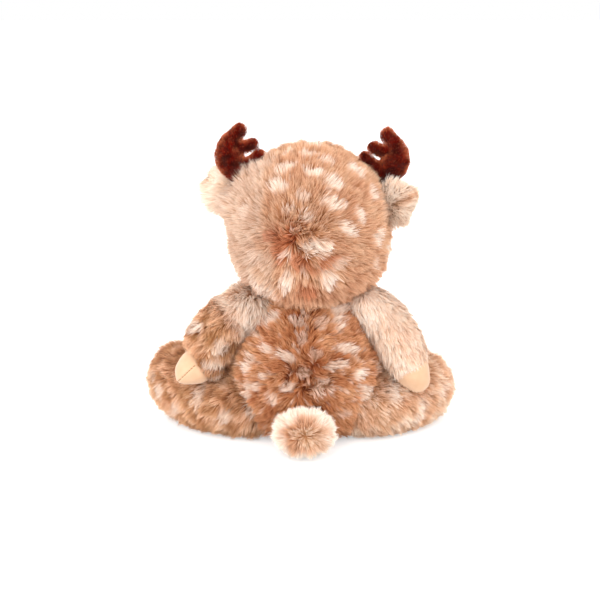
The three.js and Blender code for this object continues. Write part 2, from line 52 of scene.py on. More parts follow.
pivots = {joint["child"]: np.array(joint["pos_m"]) for joint in frame["joints"]}
scene = bpy.context.scene
densityShare = 1.0
print("frame loaded:", len(nodes), "nodes")

# Camera, fitted to the outline of the toy in the photograph
photoView = {
    "azimuth": 180,
    "elevation": 13,
    "distance": 1300 * mm,
    "aim": (0, 0, 125 * mm),
    "lens": 94,
    "sensor": 36,
    "framePixels": 600,
    "pixelsRight": 9.5,
    "pixelsUp": 10.5,
    "farthest": 20,
}


def viewDirection(azimuth, elevation):
    a, e = math.radians(azimuth), math.radians(elevation)
    return Vector((math.sin(a) * math.cos(e), -math.cos(a) * math.cos(e), math.sin(e)))


def makeCamera(view):
    data = bpy.data.cameras.new("photoCamera")
    data.lens = view["lens"]
    data.sensor_width = view["sensor"]
    data.shift_x = -view["pixelsRight"] / view["framePixels"]
    data.shift_y = -view["pixelsUp"] / view["framePixels"]
    data.clip_end = view["farthest"]
    camera = bpy.data.objects.new("photoCamera", data)
    scene.collection.objects.link(camera)
    away = viewDirection(view["azimuth"], view["elevation"])
    camera.location = Vector(view["aim"]) + away * view["distance"]
    camera.rotation_euler = (-away).to_track_quat("-Z", "Y").to_euler()
    scene.camera = camera
    bpy.context.view_layer.update()
    return camera


camera = makeCamera(photoView)
cameraRight = np.array(camera.matrix_world.to_3x3() @ Vector((1, 0, 0)))
cameraUp = np.array(camera.matrix_world.to_3x3() @ Vector((0, 1, 0)))


def photoRay(x, y):
    # From a pixel of the photograph to where its line of sight starts and points.
    size = photoView["framePixels"]
    reach = photoView["sensor"] / photoView["lens"]
    side = (x / size - 0.5 + camera.data.shift_x) * reach
    rise = (0.5 - y / size + camera.data.shift_y) * reach
    way = camera.matrix_world.to_3x3() @ Vector((side, rise, -1))
    return camera.location, way.normalized()


# Small tools for points held in arrays
tiny = 1e-9
waveHabit = {"count": 7, "paces": (0.6, 1.5), "starts": (0, 6.28), "gain": 1.8}


def unit(v):
    return v / np.maximum(np.linalg.norm(v, axis=-1, keepdims=True), tiny)


def smoothStep(low, high, value):
    t = np.clip((value - low) / (high - low), 0, 1)
    return t * t * (3 - 2 * t)


def waves(points, size, seed):
    # A smooth value that wanders between about -1 and 1 over the given size.
    count = waveHabit["count"]
    rng = np.random.default_rng(seed)
    ways = unit(rng.normal(size=(count, 3)))
    pulls = ways * (2 * math.pi / size) * rng.uniform(*waveHabit["paces"], (count, 1))
    starts = rng.uniform(*waveHabit["starts"], count)
    return np.sin(points @ pulls.T + starts).mean(axis=1) * waveHabit["gain"]


def wander(points, size, seed):
    return np.stack([waves(points, size, seed + k) for k in range(3)], axis=1)


def nearness(points, place, reach):
    # 1 at the place, fading out over the reach in mm
    return np.exp(-((points - place) ** 2).sum(axis=1) / (reach * mm) ** 2)


# Skins: a closed, smoothed copy of the outside of some CAD nodes
def meshObject(name, mesh):
    piece = bpy.data.objects.new(name, mesh)
    scene.collection.objects.link(piece)
    return piece


def applyModifiers(piece):
    bpy.context.view_layer.update()
    done = bpy.data.meshes.new_from_object(piece.evaluated_get(bpy.context.evaluated_depsgraph_get()))
    piece.modifiers.clear()
    piece.data = done
    return piece


def keepOutside(mesh):
    # Drops the closed pockets that a voxel remesh leaves inside.
    bm = bmesh.new()
    bm.from_mesh(mesh)
    start = max(bm.verts, key=lambda v: v.co.z)
    reached, edge = {start}, [start]
    while edge:
        vertex = edge.pop()
        for link in vertex.link_edges:
            other = link.other_vert(vertex)
            if other not in reached:
                reached.add(other)
                edge.append(other)
    bmesh.ops.delete(bm, geom=[v for v in bm.verts if v not in reached], context="VERTS")
    bm.to_mesh(mesh)
    bm.free()


def skinOf(name, nodeNames, voxel, smoothing, hull=False):
    bm = bmesh.new()
    for nodeName in nodeNames:
        bm.from_mesh(nodes[nodeName].data)
    if hull:
        made = bmesh.ops.convex_hull(bm, input=bm.verts)
        loose = made["geom_interior"] + made["geom_unused"]
        spare = list({part for part in loose if isinstance(part, bmesh.types.BMVert)})
        bmesh.ops.delete(bm, geom=spare, context="VERTS")
    mesh = bpy.data.meshes.new(name)
    bm.to_mesh(mesh)
    bm.free()
    piece = meshObject(name, mesh)
    remesh = piece.modifiers.new("remesh", "REMESH")
    remesh.mode = "VOXEL"
    remesh.voxel_size = voxel * mm
    applyModifiers(piece)
    keepOutside(piece.data)
    smooth = piece.modifiers.new("smooth", "SMOOTH")
    smooth.factor = 0.5
    smooth.iterations = smoothing
    applyModifiers(piece)
    for polygon in piece.data.polygons:
        polygon.use_smooth = True
    return piece


def arraysOf(mesh):
    count = len(mesh.vertices)
    points, normals = np.empty(count * 3), np.empty(count * 3)
    mesh.vertices.foreach_get("co", points)
    mesh.vertices.foreach_get("normal", normals)
    mesh.calc_loop_triangles()
    corners = np.empty(len(mesh.loop_triangles) * 3, int)
    mesh.loop_triangles.foreach_get("vertices", corners)
    return points.reshape(-1, 3), normals.reshape(-1, 3), corners.reshape(-1, 3)


def moveIn(piece, inset, floorGap=0.4):
    # Moves a skin in along its normals, and keeps it off the floor.
    points, normals, _ = arraysOf(piece.data)
    points = points - normals * inset * mm
    points[:, 2] = np.maximum(points[:, 2], floorGap * mm)
    piece.data.vertices.foreach_set("co", points.ravel())
    piece.data.update()


def treeOf(nodeNames):
    points, faces = [], []
    for nodeName in nodeNames:
        mesh = nodes[nodeName].data
        start = len(points)
        points += [v.co.copy() for v in mesh.vertices]
        faces += [[start + i for i in polygon.vertices] for polygon in mesh.polygons]
    return bvhtree.BVHTree.FromPolygons(points, faces)


def distanceTo(tree, points):
    return np.array([tree.find_nearest(p)[3] for p in points])


# Materials
def linear(hexColour):
    parts = [int(hexColour[i:i + 2], 16) / 255 for i in (1, 3, 5)]
    return [((p + 0.055) / 1.055) ** 2.4 if p > 0.04 else p / 12.92 for p in parts] + [1]


def newMaterial(name):
    material = bpy.data.materials.new(name)
    material.use_nodes = True
    tree = material.node_tree
    return material, tree, tree.nodes["Principled BSDF"]


def mixColour(tree, factor, first, second, blend="MIX"):
    mix = tree.nodes.new("ShaderNodeMix")
    mix.data_type = "RGBA"
    mix.blend_type = blend
    # The colour sockets of the node come after those for numbers and vectors.
    for socket, value in ((mix.inputs[0], factor), (mix.inputs[6], first), (mix.inputs[7], second)):
        if isinstance(value, bpy.types.NodeSocket):
            tree.links.new(value, socket)
        else:
            socket.default_value = value
    return mix.outputs[2]


def attribute(tree, name):
    node = tree.nodes.new("ShaderNodeAttribute")
    node.attribute_name = name
    return node.outputs["Fac"]


def groupWith(name, inputs, outputs):
    group = bpy.data.node_groups.new(name, "ShaderNodeTree")
    for label, kind, value in inputs:
        socket = group.interface.new_socket(label, in_out="INPUT", socket_type=kind)
        socket.default_value = value
    for label, kind in outputs:
        group.interface.new_socket(label, in_out="OUTPUT", socket_type=kind)
    return group, group.nodes.new("NodeGroupInput"), group.nodes.new("NodeGroupOutput")


def makeMottle():
    # Soft uneven tone over a surface, as dye and nap give it: a factor round 0.5.
    group, given, result = groupWith(
        "mottle",
        [("Scale", "NodeSocketFloat", 60.0), ("Contrast", "NodeSocketFloat", 1.0)],
        [("Factor", "NodeSocketFloat")],
    )
    place = group.nodes.new("ShaderNodeTexCoord")
    noise = group.nodes.new("ShaderNodeTexNoise")
    noise.inputs["Detail"].default_value = 4
    centred = group.nodes.new("ShaderNodeMath")
    centred.operation = "SUBTRACT"
    centred.inputs[1].default_value = 0.5
    scaled = group.nodes.new("ShaderNodeMath")
    scaled.operation = "MULTIPLY_ADD"
    scaled.inputs[2].default_value = 0.5
    group.links.new(place.outputs["Object"], noise.inputs["Vector"])
    group.links.new(given.outputs["Scale"], noise.inputs["Scale"])
    group.links.new(noise.outputs["Fac"], centred.inputs[0])
    group.links.new(centred.outputs[0], scaled.inputs[0])
    group.links.new(given.outputs["Contrast"], scaled.inputs[1])
    group.links.new(scaled.outputs[0], result.inputs["Factor"])
    return group


def makeNap():
    # Fine fibres lying on a cloth: a height for a Bump node.
    group, given, result = groupWith(
        "nap",
        [("Scale", "NodeSocketFloat", 900.0), ("Stretch", "NodeSocketFloat", 3.0)],
        [("Height", "NodeSocketFloat")],
    )
    place = group.nodes.new("ShaderNodeTexCoord")
    squeeze = group.nodes.new("ShaderNodeCombineXYZ")
    squeeze.inputs[0].default_value = 1
    squeeze.inputs[1].default_value = 1
    shape = group.nodes.new("ShaderNodeVectorMath")
    shape.operation = "DIVIDE"
    noise = group.nodes.new("ShaderNodeTexNoise")
    noise.inputs["Detail"].default_value = 3
    group.links.new(given.outputs["Stretch"], squeeze.inputs[2])
    group.links.new(place.outputs["Object"], shape.inputs[0])
    group.links.new(squeeze.outputs[0], shape.inputs[1])
    group.links.new(shape.outputs[0], noise.inputs["Vector"])
    group.links.new(given.outputs["Scale"], noise.inputs["Scale"])
    group.links.new(noise.outputs["Fac"], result.inputs["Height"])
    return group


mottle, nap = makeMottle(), makeNap()


def placeGroup(tree, group, **values):
    node = tree.nodes.new("ShaderNodeGroup")
    node.node_tree = group
    for label, value in values.items():
        node.inputs[label].default_value = value
    return node.outputs[0]


def pileMaterial(name, look):
    # Colour runs from root to tip; the masks spot, deep and pale are stored on the strands.
    material, tree, shader = newMaterial(name)
    along = attribute(tree, "along")
    base = mixColour(tree, along, linear(look["root"]), linear(look["tip"]))
    dark = mixColour(tree, along, linear(look["deepRoot"]), linear(look["deepTip"]))
    light = mixColour(tree, along, linear(look["spotRoot"]), linear(look["spotTip"]))
    pale = mixColour(tree, along, linear(look["paleRoot"]), linear(look["paleTip"]))
    colour = mixColour(tree, attribute(tree, "pale"), base, pale)
    colour = mixColour(tree, attribute(tree, "deep"), colour, dark)
    colour = mixColour(tree, attribute(tree, "spot"), colour, light)
    uneven = placeGroup(tree, mottle, Scale=look["mottleScale"], Contrast=look["mottleContrast"])
    clouds = mixColour(tree, uneven, (0, 0, 0, 1), (1, 1, 1, 1))
    colour = mixColour(tree, look["mottleShare"], colour, clouds, "SOFT_LIGHT")
    tone = tree.nodes.new("ShaderNodeMapRange")
    tone.inputs["To Min"].default_value = 1 - look["strandVariation"]
    tone.inputs["To Max"].default_value = 1 + look["strandVariation"]
    tree.links.new(attribute(tree, "vary"), tone.inputs["Value"])
    shade = tree.nodes.new("ShaderNodeHueSaturation")
    tree.links.new(colour, shade.inputs["Color"])
    tree.links.new(tone.outputs[0], shade.inputs["Value"])
    tree.links.new(shade.outputs[0], shader.inputs["Base Color"])
    shader.inputs["Roughness"].default_value = look["roughness"]
    shader.inputs["Specular IOR Level"].default_value = look["specular"]
    shader.inputs["Sheen Weight"].default_value = look["sheen"]
    shader.inputs["Sheen Roughness"].default_value = look["sheenRoughness"]
    return material


furLook = {
    "root": "#a85a26", "tip": "#f6c094",
    "deepRoot": "#8c3e16", "deepTip": "#d88c5a",
    "spotRoot": "#f0c8a8", "spotTip": "#fffaf3",
    "paleRoot": "#d9a67a", "paleTip": "#fbe6d2",
    "mottleScale": 45.0, "mottleContrast": 2.2, "mottleShare": 0.35, "strandVariation": 0.12,
    "roughness": 0.7, "specular": 0.2, "sheen": 0.05, "sheenRoughness": 0.4,
}
# On the velvet the spot colours serve the edges, partly the lighter seam and partly painted highlight, and
# the pale colours are painted sheen on brushed patches.
velvetLook = {
    "root": "#600c05", "tip": "#9c200e",
    "deepRoot": "#2a0603", "deepTip": "#541008",
    "spotRoot": "#a4482a", "spotTip": "#ea9068",
    "paleRoot": "#78200e", "paleTip": "#b8432a",
    "mottleScale": 170.0, "mottleContrast": 3.0, "mottleShare": 0.35, "strandVariation": 0.25,
    "roughness": 0.7, "specular": 0.06, "sheen": 0.0, "sheenRoughness": 0.4,
}
limbFurLook = dict(furLook, root="#aa5a24", tip="#fac89a", deepRoot="#8a4a20", deepTip="#d09a6c",
                   paleRoot="#e2a874", paleTip="#ffeedd")
# The ears' roots are painted lighter: painted light that lifts the shade among the ear strands.
litEarFurLook = dict(limbFurLook, spotRoot="#ffe4cc", paleRoot="#f4cca6", paleTip="#fff2e4")
headFurLook = dict(furLook, root="#b6703e", tip="#ecc4a4", paleRoot="#cba284", paleTip="#e3d3c6",
                   deepRoot="#9a4820", deepTip="#e0966e")
# The ground under the pile: root colours painted darker, as painted shade beneath the strands.
shadedGroundLook = dict(furLook, root="#9c5226", deepRoot="#6e2b0c", spotRoot="#dcb08a", paleRoot="#cf9c70")
furPile = pileMaterial("spottedFurPile", furLook)
headPile = pileMaterial("headFurPile", headFurLook)
limbFur = pileMaterial("limbFurPile", limbFurLook)
litEarFur = pileMaterial("litEarFurPile", litEarFurLook)
shadedFurGround = pileMaterial("spottedFurGroundShaded", shadedGroundLook)
velvetPile = pileMaterial("velvetPile", velvetLook)


napDepth = 0.3 * mm


def clothMaterial(name, look):
    material, tree, shader = newMaterial(name)
    uneven = placeGroup(tree, mottle, Scale=look["mottleScale"], Contrast=look["mottleContrast"])
    colour = mixColour(tree, uneven, linear(look["dark"]), linear(look["light"]))
    tree.links.new(colour, shader.inputs["Base Color"])
    bump = tree.nodes.new("ShaderNodeBump")
    bump.inputs["Strength"].default_value = look["bump"]
    bump.inputs["Distance"].default_value = napDepth
    fibres = placeGroup(tree, nap, Scale=look["napScale"], Stretch=look["napStretch"])
    tree.links.new(fibres, bump.inputs["Height"])
    tree.links.new(bump.outputs[0], shader.inputs["Normal"])
    shader.inputs["Roughness"].default_value = look["roughness"]
    shader.inputs["Specular IOR Level"].default_value = look["specular"]
    shader.inputs["Sheen Weight"].default_value = look["sheen"]
    return material


velvetBacking = clothMaterial("velvetBacking", {
    "dark": "#3a0c05", "light": "#611a0b", "mottleScale": 300.0, "mottleContrast": 2.0,
    "bump": 0.5, "napScale": 2500.0, "napStretch": 1.0, "roughness": 0.8, "specular": 0.3, "sheen": 0.5,
})
suede = clothMaterial("creamSuede", {
    "dark": "#cfa684", "light": "#dfba9a", "mottleScale": 110.0, "mottleContrast": 1.4,
    "bump": 0.35, "napScale": 2600.0, "napStretch": 2.0, "roughness": 0.85, "specular": 0.25, "sheen": 0.35,
})
thread = clothMaterial("hoofThread", {
    "dark": "#805a30", "light": "#9a7244", "mottleScale": 900.0, "mottleContrast": 2.0,
    "bump": 0.6, "napScale": 4000.0, "napStretch": 6.0, "roughness": 0.7, "specular": 0.3, "sheen": 0.2,
})
darkThread = clothMaterial("mouthThread", {
    "dark": "#2a0d07", "light": "#45180d", "mottleScale": 900.0, "mottleContrast": 2.0,
    "bump": 0.6, "napScale": 4000.0, "napStretch": 6.0, "roughness": 0.6, "specular": 0.35, "sheen": 0.2,
})
filling = clothMaterial("looseFibre", {
    "dark": "#e4e1da", "light": "#ffffff", "mottleScale": 150.0, "mottleContrast": 3.0,
    "bump": 1.0, "napScale": 700.0, "napStretch": 4.0, "roughness": 0.95, "specular": 0.1, "sheen": 0.4,
})
pelletCloth = clothMaterial("pelletBagCotton", {
    "dark": "#cfcabf", "light": "#e6e2da", "mottleScale": 250.0, "mottleContrast": 1.5,
    "bump": 0.8, "napScale": 1800.0, "napStretch": 1.0, "roughness": 0.9, "specular": 0.2, "sheen": 0.1,
})
washerPlastic = clothMaterial("washerPlastic", {
    "dark": "#dedcd4", "light": "#efede6", "mottleScale": 400.0, "mottleContrast": 1.0,
    "bump": 0.05, "napScale": 900.0, "napStretch": 1.0, "roughness": 0.45, "specular": 0.5, "sheen": 0.0,
})


eyeLook = {
    "dark": "#030201", "light": "#120805", "mottleScale": 300.0, "mottleContrast": 2.0,
    "roughness": 0.06, "specular": 0.4,
}


def eyeMaterial(look):
    material, tree, shader = newMaterial("eyeGloss")
    uneven = placeGroup(tree, mottle, Scale=look["mottleScale"], Contrast=look["mottleContrast"])
    colour = mixColour(tree, uneven, linear(look["dark"]), linear(look["light"]))
    tree.links.new(colour, shader.inputs["Base Color"])
    shader.inputs["Roughness"].default_value = look["roughness"]
    shader.inputs["Specular IOR Level"].default_value = look["specular"]
    return material


eyeGloss = eyeMaterial(eyeLook)
for nodeName, node in nodes.items():
    if nodeName.endswith("stuffing"):
        node.data.materials[0] = filling
    elif nodeName == "seat_pellet_bag":
        node.data.materials[0] = pelletCloth
    elif nodeName.startswith("eye_washer"):
        node.data.materials[0] = washerPlastic
    elif nodeName.startswith("eye"):
        node.data.materials[0] = eyeGloss
print("materials made")


# Pile: strands grown as narrow tapering blades on a skin
strandHabit = {
    "lengths": (0.78, 1.12), "lengthWander": 0.2, "lengthWanderSize": 8, "leans": (4, 80),
    "leanWanderScale": 1.7, "lowBend": 0.5, "highBend": 1.3, "widths": (0.7, 1.25), "middleWidth": 0.85,
    "fewestGuides": 8, "pulls": (0.35, 1.0), "ownShare": 0.2, "shares": (0.5, 1.0), "mostShare": 0.85,
    "patchSize": 19, "patchMean": 0.8, "patchSwing": 0.35,
}
# A blade has two points at its foot, two in its middle and one at its tip.
bladePoints = 5
bladeTriangles = np.array([[0, 1, 3, 0, 3, 2, 2, 3, 4]])
bladeAlong = [0, 0, 0.18, 0.18, 1.0]
bladeInCell = np.array([[0.2, 0.15], [0.8, 0.15], [0.2, 0.5], [0.8, 0.5], [0.5, 0.85]])
belowTop = 0.999  # keeps the highest strand in the last row of cells
maskNames = ("spot", "deep", "pale", "vary")


def scatter(piece, perSquareMm, seed):
    points, normals, corners = arraysOf(piece.data)
    a, b, c = points[corners[:, 0]], points[corners[:, 1]], points[corners[:, 2]]
    areas = np.linalg.norm(np.cross(b - a, c - a), axis=1) / 2
    rng = np.random.default_rng(seed)
    count = int(areas.sum() / mm**2 * perSquareMm * densityShare)
    chosen = rng.choice(len(corners), count, p=areas / areas.sum())
    u, v = rng.random(count), rng.random(count)
    over = u + v > 1
    u[over], v[over] = 1 - u[over], 1 - v[over]
    weights = np.stack([1 - u - v, u, v], axis=1)[:, :, None]
    roots = (points[corners[chosen]] * weights).sum(axis=1)
    return roots, unit((normals[corners[chosen]] * weights).sum(axis=1)), rng


def clumpTo(roots, values, guides, share):
    # Draws each strand towards the nearest guide strand, more so at the tip.
    tree = kdtree.KDTree(len(guides))
    for k, index in enumerate(guides):
        tree.insert(roots[index], k)
    tree.balance()
    nearest = guides[np.array([tree.find(root)[1] for root in roots])]
    pulled = zip(values, strandHabit["pulls"])
    return [value + (value[nearest] - value) * share * pull for value, pull in pulled]


def alongSkin(vectors, normals):
    return vectors - normals * (vectors * normals).sum(axis=1, keepdims=True)


def growPile(name, body, skin, look, flow, tint, room, material, seed, keep=None, tuft=None):
    roots, normals, rng = scatter(skin, look["perSquareMm"], seed)
    space = room(roots)
    kept = space > 0
    if keep is not None:
        kept &= keep(roots, normals)
    roots, normals, space = roots[kept], normals[kept], space[kept]
    count = len(roots)

    # Where each strand points, and how far it leans over. Each wandering value has a seed of its own.
    stray = wander(roots, look["wanderSize"] * mm, seed + 11) * look["wander"]
    way = unit(alongSkin(flow(roots, normals), normals))
    way = unit(way + stray + rng.normal(size=(count, 3)) * look["scatter"])
    way = unit(alongSkin(way, normals))
    leanSize = look["wanderSize"] * strandHabit["leanWanderScale"] * mm
    lift = waves(roots, leanSize, seed + 23) * look["leanWander"]
    lean = look["lean"] + lift + rng.normal(size=count) * look["leanScatter"]
    lean = np.radians(np.clip(lean, *strandHabit["leans"]))[:, None]
    length = look["length"] * mm * space * rng.uniform(*strandHabit["lengths"], count)
    uneven = strandHabit["lengthWander"] * waves(roots, strandHabit["lengthWanderSize"] * mm, seed + 31)
    length = (length * (1 + uneven))[:, None]
    low, high = lean * strandHabit["lowBend"], lean * strandHabit["highBend"]
    foot = roots - normals * look["inset"] * mm
    middle = foot + (np.cos(low) * normals + np.sin(low) * way) * length / 2
    tip = middle + (np.cos(high) * normals + np.sin(high) * way) * length / 2

    # Tufts within tufts
    patches = waves(roots, strandHabit["patchSize"] * mm, seed + 41)[:, None]
    patchy = strandHabit["patchMean"] + strandHabit["patchSwing"] * patches
    own = strandHabit["ownShare"]
    for clump in look["clumps"]:
        perGuide = look["perSquareMm"] * densityShare * clump["size"] ** 2
        guides = rng.choice(count, max(strandHabit["fewestGuides"], int(count / perGuide)), replace=False)
        share = clump["share"] * patchy * rng.uniform(*strandHabit["shares"], (count, 1))
        if tuft is not None:
            share = np.minimum(share * tuft(roots)[:, None], strandHabit["mostShare"])
        gathered, tip = clumpTo(foot, [middle, tip], guides, share)
        middle = gathered * (1 - own) + middle * own
    for points in (foot, middle, tip):
        points[:, 2] = np.maximum(points[:, 2], look["floorGap"] * mm)

    # Blades, each turned a little round its own length
    roll = rng.normal(size=(count, 1)) * look["roll"]
    side = unit(np.cross(normals, middle - foot) + tiny)
    side = unit(side * np.cos(roll) + normals * np.sin(roll))
    side *= np.where((np.cross(side, tip - foot) * normals).sum(axis=1) < 0, -1, 1)[:, None]
    half = side * (look["width"] / 2 * mm * rng.uniform(*strandHabit["widths"], (count, 1)))
    narrow = half * strandHabit["middleWidth"]
    points = np.stack([foot - half, foot + half, middle - narrow, middle + narrow, tip], axis=1)
    seen = roots + alongSkin(tip - foot, normals) * look["seenShare"]
    masks = tint(seen, normals)
    masks["vary"] = rng.random(count)
    pile = bladeMesh(name, points, masks, roots)
    outward = unit(normals * look["softness"] + unit(np.cross(side, tip - foot)))
    pile.data.normals_split_custom_set_from_vertices(np.repeat(outward, bladePoints, axis=0))
    pile.data.materials.append(material)
    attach(pile, body)
    print(name, count, "strands")


def storeMask(mesh, name, values):
    mesh.attributes.new(name, "FLOAT", "POINT").data.foreach_set("value", values.astype(np.float32))


def paintSkin(skin, tint):
    # The ground under the pile takes the colours of the roots; its material paints them darker, as painted
    # shade under the strands.
    points, normals, _ = arraysOf(skin.data)
    masks = tint(points, normals)
    masks["vary"] = np.full(len(points), 0.5)
    for label in maskNames:
        storeMask(skin.data, label, masks.get(label, np.zeros(len(points))))
    storeMask(skin.data, "along", np.zeros(len(points)))


def bladeMesh(name, points, masks, roots):
    count = len(points)
    mesh = bpy.data.meshes.new(name)
    mesh.vertices.add(count * bladePoints)
    mesh.vertices.foreach_set("co", points.ravel())
    start = (np.arange(count) * bladePoints)[:, None]
    triangles = (start + bladeTriangles).ravel()
    mesh.loops.add(len(triangles))
    mesh.loops.foreach_set("vertex_index", triangles)
    mesh.polygons.add(count * 3)
    mesh.polygons.foreach_set("loop_start", np.arange(count * 3) * 3)
    mesh.polygons.foreach_set("use_smooth", np.ones(count * 3, bool))
    mesh.update(calc_edges=True)
    storeMask(mesh, "along", np.tile(bladeAlong, count))
    for label in maskNames:
        storeMask(mesh, label, np.repeat(masks.get(label, np.zeros(count)), bladePoints))
    # Each strand bakes into a cell of its own, in the order of its place round the piece.
    away = unit(roots - roots.mean(axis=0))
    cells = math.ceil(math.sqrt(count))
    row = np.floor((away[:, 2] + 1) / 2 * cells * belowTop)
    order = np.lexsort((np.arctan2(away[:, 1], away[:, 0]), row))
    rank = np.empty(count, int)
    rank[order] = np.arange(count)
    corner = np.stack([rank % cells, rank // cells], axis=1) / cells
    places = (corner[:, None, :] + bladeInCell[None] / cells).reshape(-1, 2)
    uvs = mesh.uv_layers.new(name="OFBake")
    uvs.data.foreach_set("uv", places[triangles].ravel())
    return meshObject(name, mesh)


# Spots. Those that the photograph shows are placed by its pixels: x, y, length and width in mm, rise to the
# right in degrees, and strength. The rest are scattered.
headSpots = [
    (314, 146, 14, 9, 0, 0.9), (308, 155, 14, 8, 0, 0.75), (327, 161, 13, 7, -8, 0.8),
    (288, 154, 9, 6, 10, 0.5), (287, 168, 16, 9, 10, 0.85), (313, 172, 17, 10, -8, 1.0),
    (355, 171, 17, 10, -30, 0.95), (279, 185, 16, 12, 5, 1.0), (334, 183, 14, 14, 0, 1.0),
    (372, 194, 13, 10, -40, 0.95), (303, 195, 11, 9, -20, 0.6), (334, 203, 19, 10, -18, 1.0),
    (288, 207, 12, 9, 30, 0.5), (360, 216, 17, 8, -55, 0.9), (306, 215, 12, 10, -40, 0.7),
    (348, 228, 19, 11, -35, 1.0), (377, 237, 15, 12, 80, 0.95), (293, 231, 9, 8, 0, 0.5),
    (317, 248, 25, 15, 8, 1.0), (287, 279, 20, 10, 75, 0.75), (329, 277, 20, 13, 100, 0.8),
    (286, 256, 11, 8, 0, 0.6), (341, 261, 15, 9, 20, 0.45), (372, 260, 12, 8, 80, 0.5),
    (368, 278, 13, 9, 80, 0.5), (246, 209, 16, 13, 60, 0.45), (305, 271, 10, 6, 110, 0.4),
    (256, 255, 15, 12, 30, 0.4), (268, 286, 26, 15, -25, 0.6), (357, 291, 18, 12, 35, 0.6),
]
bodySpots = [
    (361, 301, 24, 17, -35, 1), (272, 318, 18, 9, 25, 0.8), (297, 321, 14, 9, -25, 0.6),
    (257, 334, 9, 7, -40, 0.7), (266, 348, 13, 7, -35, 0.85), (286, 356, 18, 9, -25, 0.9),
    (303, 338, 14, 8, 80, 0.45), (251, 358, 12, 8, -30, 0.7), (247, 367, 11, 9, -60, 0.85),
    (263, 376, 7, 6, 0, 0.8), (257, 386, 10, 8, 70, 0.8), (304, 373, 12, 10, 0, 0.56),
    (288, 387, 12, 9, 20, 0.75), (273, 399, 11, 8, -30, 0.75), (340, 309, 18, 8, 5, 0.8),
    (321, 322, 13, 9, 30, 0.38), (338, 330, 7, 6, 0, 0.45), (314, 353, 10, 9, 60, 0.45),
    (346, 348, 22, 9, 6, 0.95), (337, 365, 20, 8, 15, 0.85), (359, 374, 12, 10, 30, 0.95),
    (323, 387, 18, 15, 25, 0.71), (375, 367, 9, 7, 60, 0.7), (367, 393, 15, 10, 30, 0.95),
    (344, 413, 11, 7, 0, 0.45), (300, 408, 9, 7, 0, 0.26), (281, 418, 10, 8, 0, 0.4),
]
limbSpots = [
    (235, 296, 17, 15, 60, 0.8), (242, 318, 17, 12, 70, 0.75), (196, 329, 17, 11, -20, 0.95),
    (219, 348, 15, 11, 60, 0.6), (214, 366, 22, 8, -15, 0.75), (199, 396, 22, 12, 70, 0.65),
    (161, 391, 15, 12, 50, 0.75), (176, 408, 17, 9, 60, 0.6), (225, 416, 14, 10, 60, 0.6),
    (251, 408, 18, 11, 100, 0.75), (394, 392, 18, 12, 95, 0.95), (419, 411, 25, 10, 65, 0.75),
    (442, 390, 17, 12, 60, 0.7), (403, 422, 10, 8, 0, 0.45), (403, 333, 12, 10, 20, 0.8),
    (260, 420, 12, 8, 90, 0.5), (155, 378, 12, 10, -60, 0.5), (158, 352, 14, 9, 50, 0.5),
    (447, 372, 10, 16, 20, 0.5),
]
headDeep = [
    (290, 236, 22, 13, 70, 1.0), (280, 246, 30, 15, 95, 0.9), (300, 262, 22, 12, -30, 0.85),
    (328, 262, 20, 9, 20, 0.8), (307, 288, 16, 20, 0, 0.9), (268, 235, 12, 9, 60, 0.6),
]
# Scattered spots start where a skin turns away from the photograph's camera by this much.
photoEdge = {"head": 0.1, "torso": 0.05, "limb": 0.1}
looseSpots = {"tries": 0.05, "lengths": (0.8, 1.35), "widths": (0.6, 0.85), "strengths": (0.65, 1.0)}
spotEdge = {"wander": 0.2, "wanderSize": 7, "ragged": 0.13, "farthest": 26, "soft": (0.72, 1.22)}


def placeSpots(tree, rows):
    found = []
    for x, y, length, width, rise, strength in rows:
        start, direction = photoRay(x, y)
        hit, normal, _, _ = tree.ray_cast(start, direction)
        if hit is None:
            continue
        normal = np.array(normal)
        right = unit(cameraRight - normal * (cameraRight @ normal))
        up = unit(np.cross(normal, right))
        up = up * np.sign(up @ cameraUp)
        turn = math.radians(rise)
        along = right * math.cos(turn) + up * math.sin(turn)
        across = -right * math.sin(turn) + up * math.cos(turn)
        found.append((np.array(hit), along / (length / 2 * mm), across / (width / 2 * mm), strength))
    return found


def scatterSpots(piece, spacing, size, seed, allowed):
    # Spots spread over the sides that the photograph doesn't show.
    roots, normals, rng = scatter(piece, looseSpots["tries"] / densityShare, seed)
    taken, found = [], []
    for root, normal in zip(roots, normals):
        crowded = any(np.linalg.norm(root - other) < spacing * mm for other in taken)
        if crowded or not allowed(root, normal):
            continue
        taken.append(root)
        along = unit(np.cross(normal, rng.normal(size=3)))
        across = np.cross(normal, along)
        halfLength = size * rng.uniform(*looseSpots["lengths"]) / 2 * mm
        halfWidth = size * rng.uniform(*looseSpots["widths"]) / 2 * mm
        found.append((root, along / halfLength, across / halfWidth, rng.uniform(*looseSpots["strengths"])))
    return found


def spotMask(points, spots, seed=5):
    mask = np.zeros(len(points))
    edge = 1 + spotEdge["wander"] * waves(points, spotEdge["wanderSize"] * mm, seed)
    ragged = np.random.default_rng(seed).normal(size=len(points)) * spotEdge["ragged"]
    for centre, along, across, strength in spots:
        away = points - centre
        reach = np.hypot(away @ along, away @ across) * edge + ragged
        near = np.linalg.norm(away, axis=1) < spotEdge["farthest"] * mm
        white = strength * (1 - smoothStep(*spotEdge["soft"], reach))
        mask = np.where(near, np.maximum(mask, white), mask)
    return mask


# Room round each skin: pile stays short where another piece is sewn on
def roomBeside(nodeNames, clear=0.7, full=2.2, shortest=0.82):
    tree = treeOf(nodeNames)

    def room(points):
        gap = distanceTo(tree, points) / mm
        return np.where(gap < clear, 0, shortest + (1 - shortest) * smoothStep(clear, full, gap))

    return room


def shellsOf(*starts):
    # The outer pieces whose names start so, without their fillings
    return [n for n in nodes if n.startswith(starts) and not n.endswith("stuffing")]


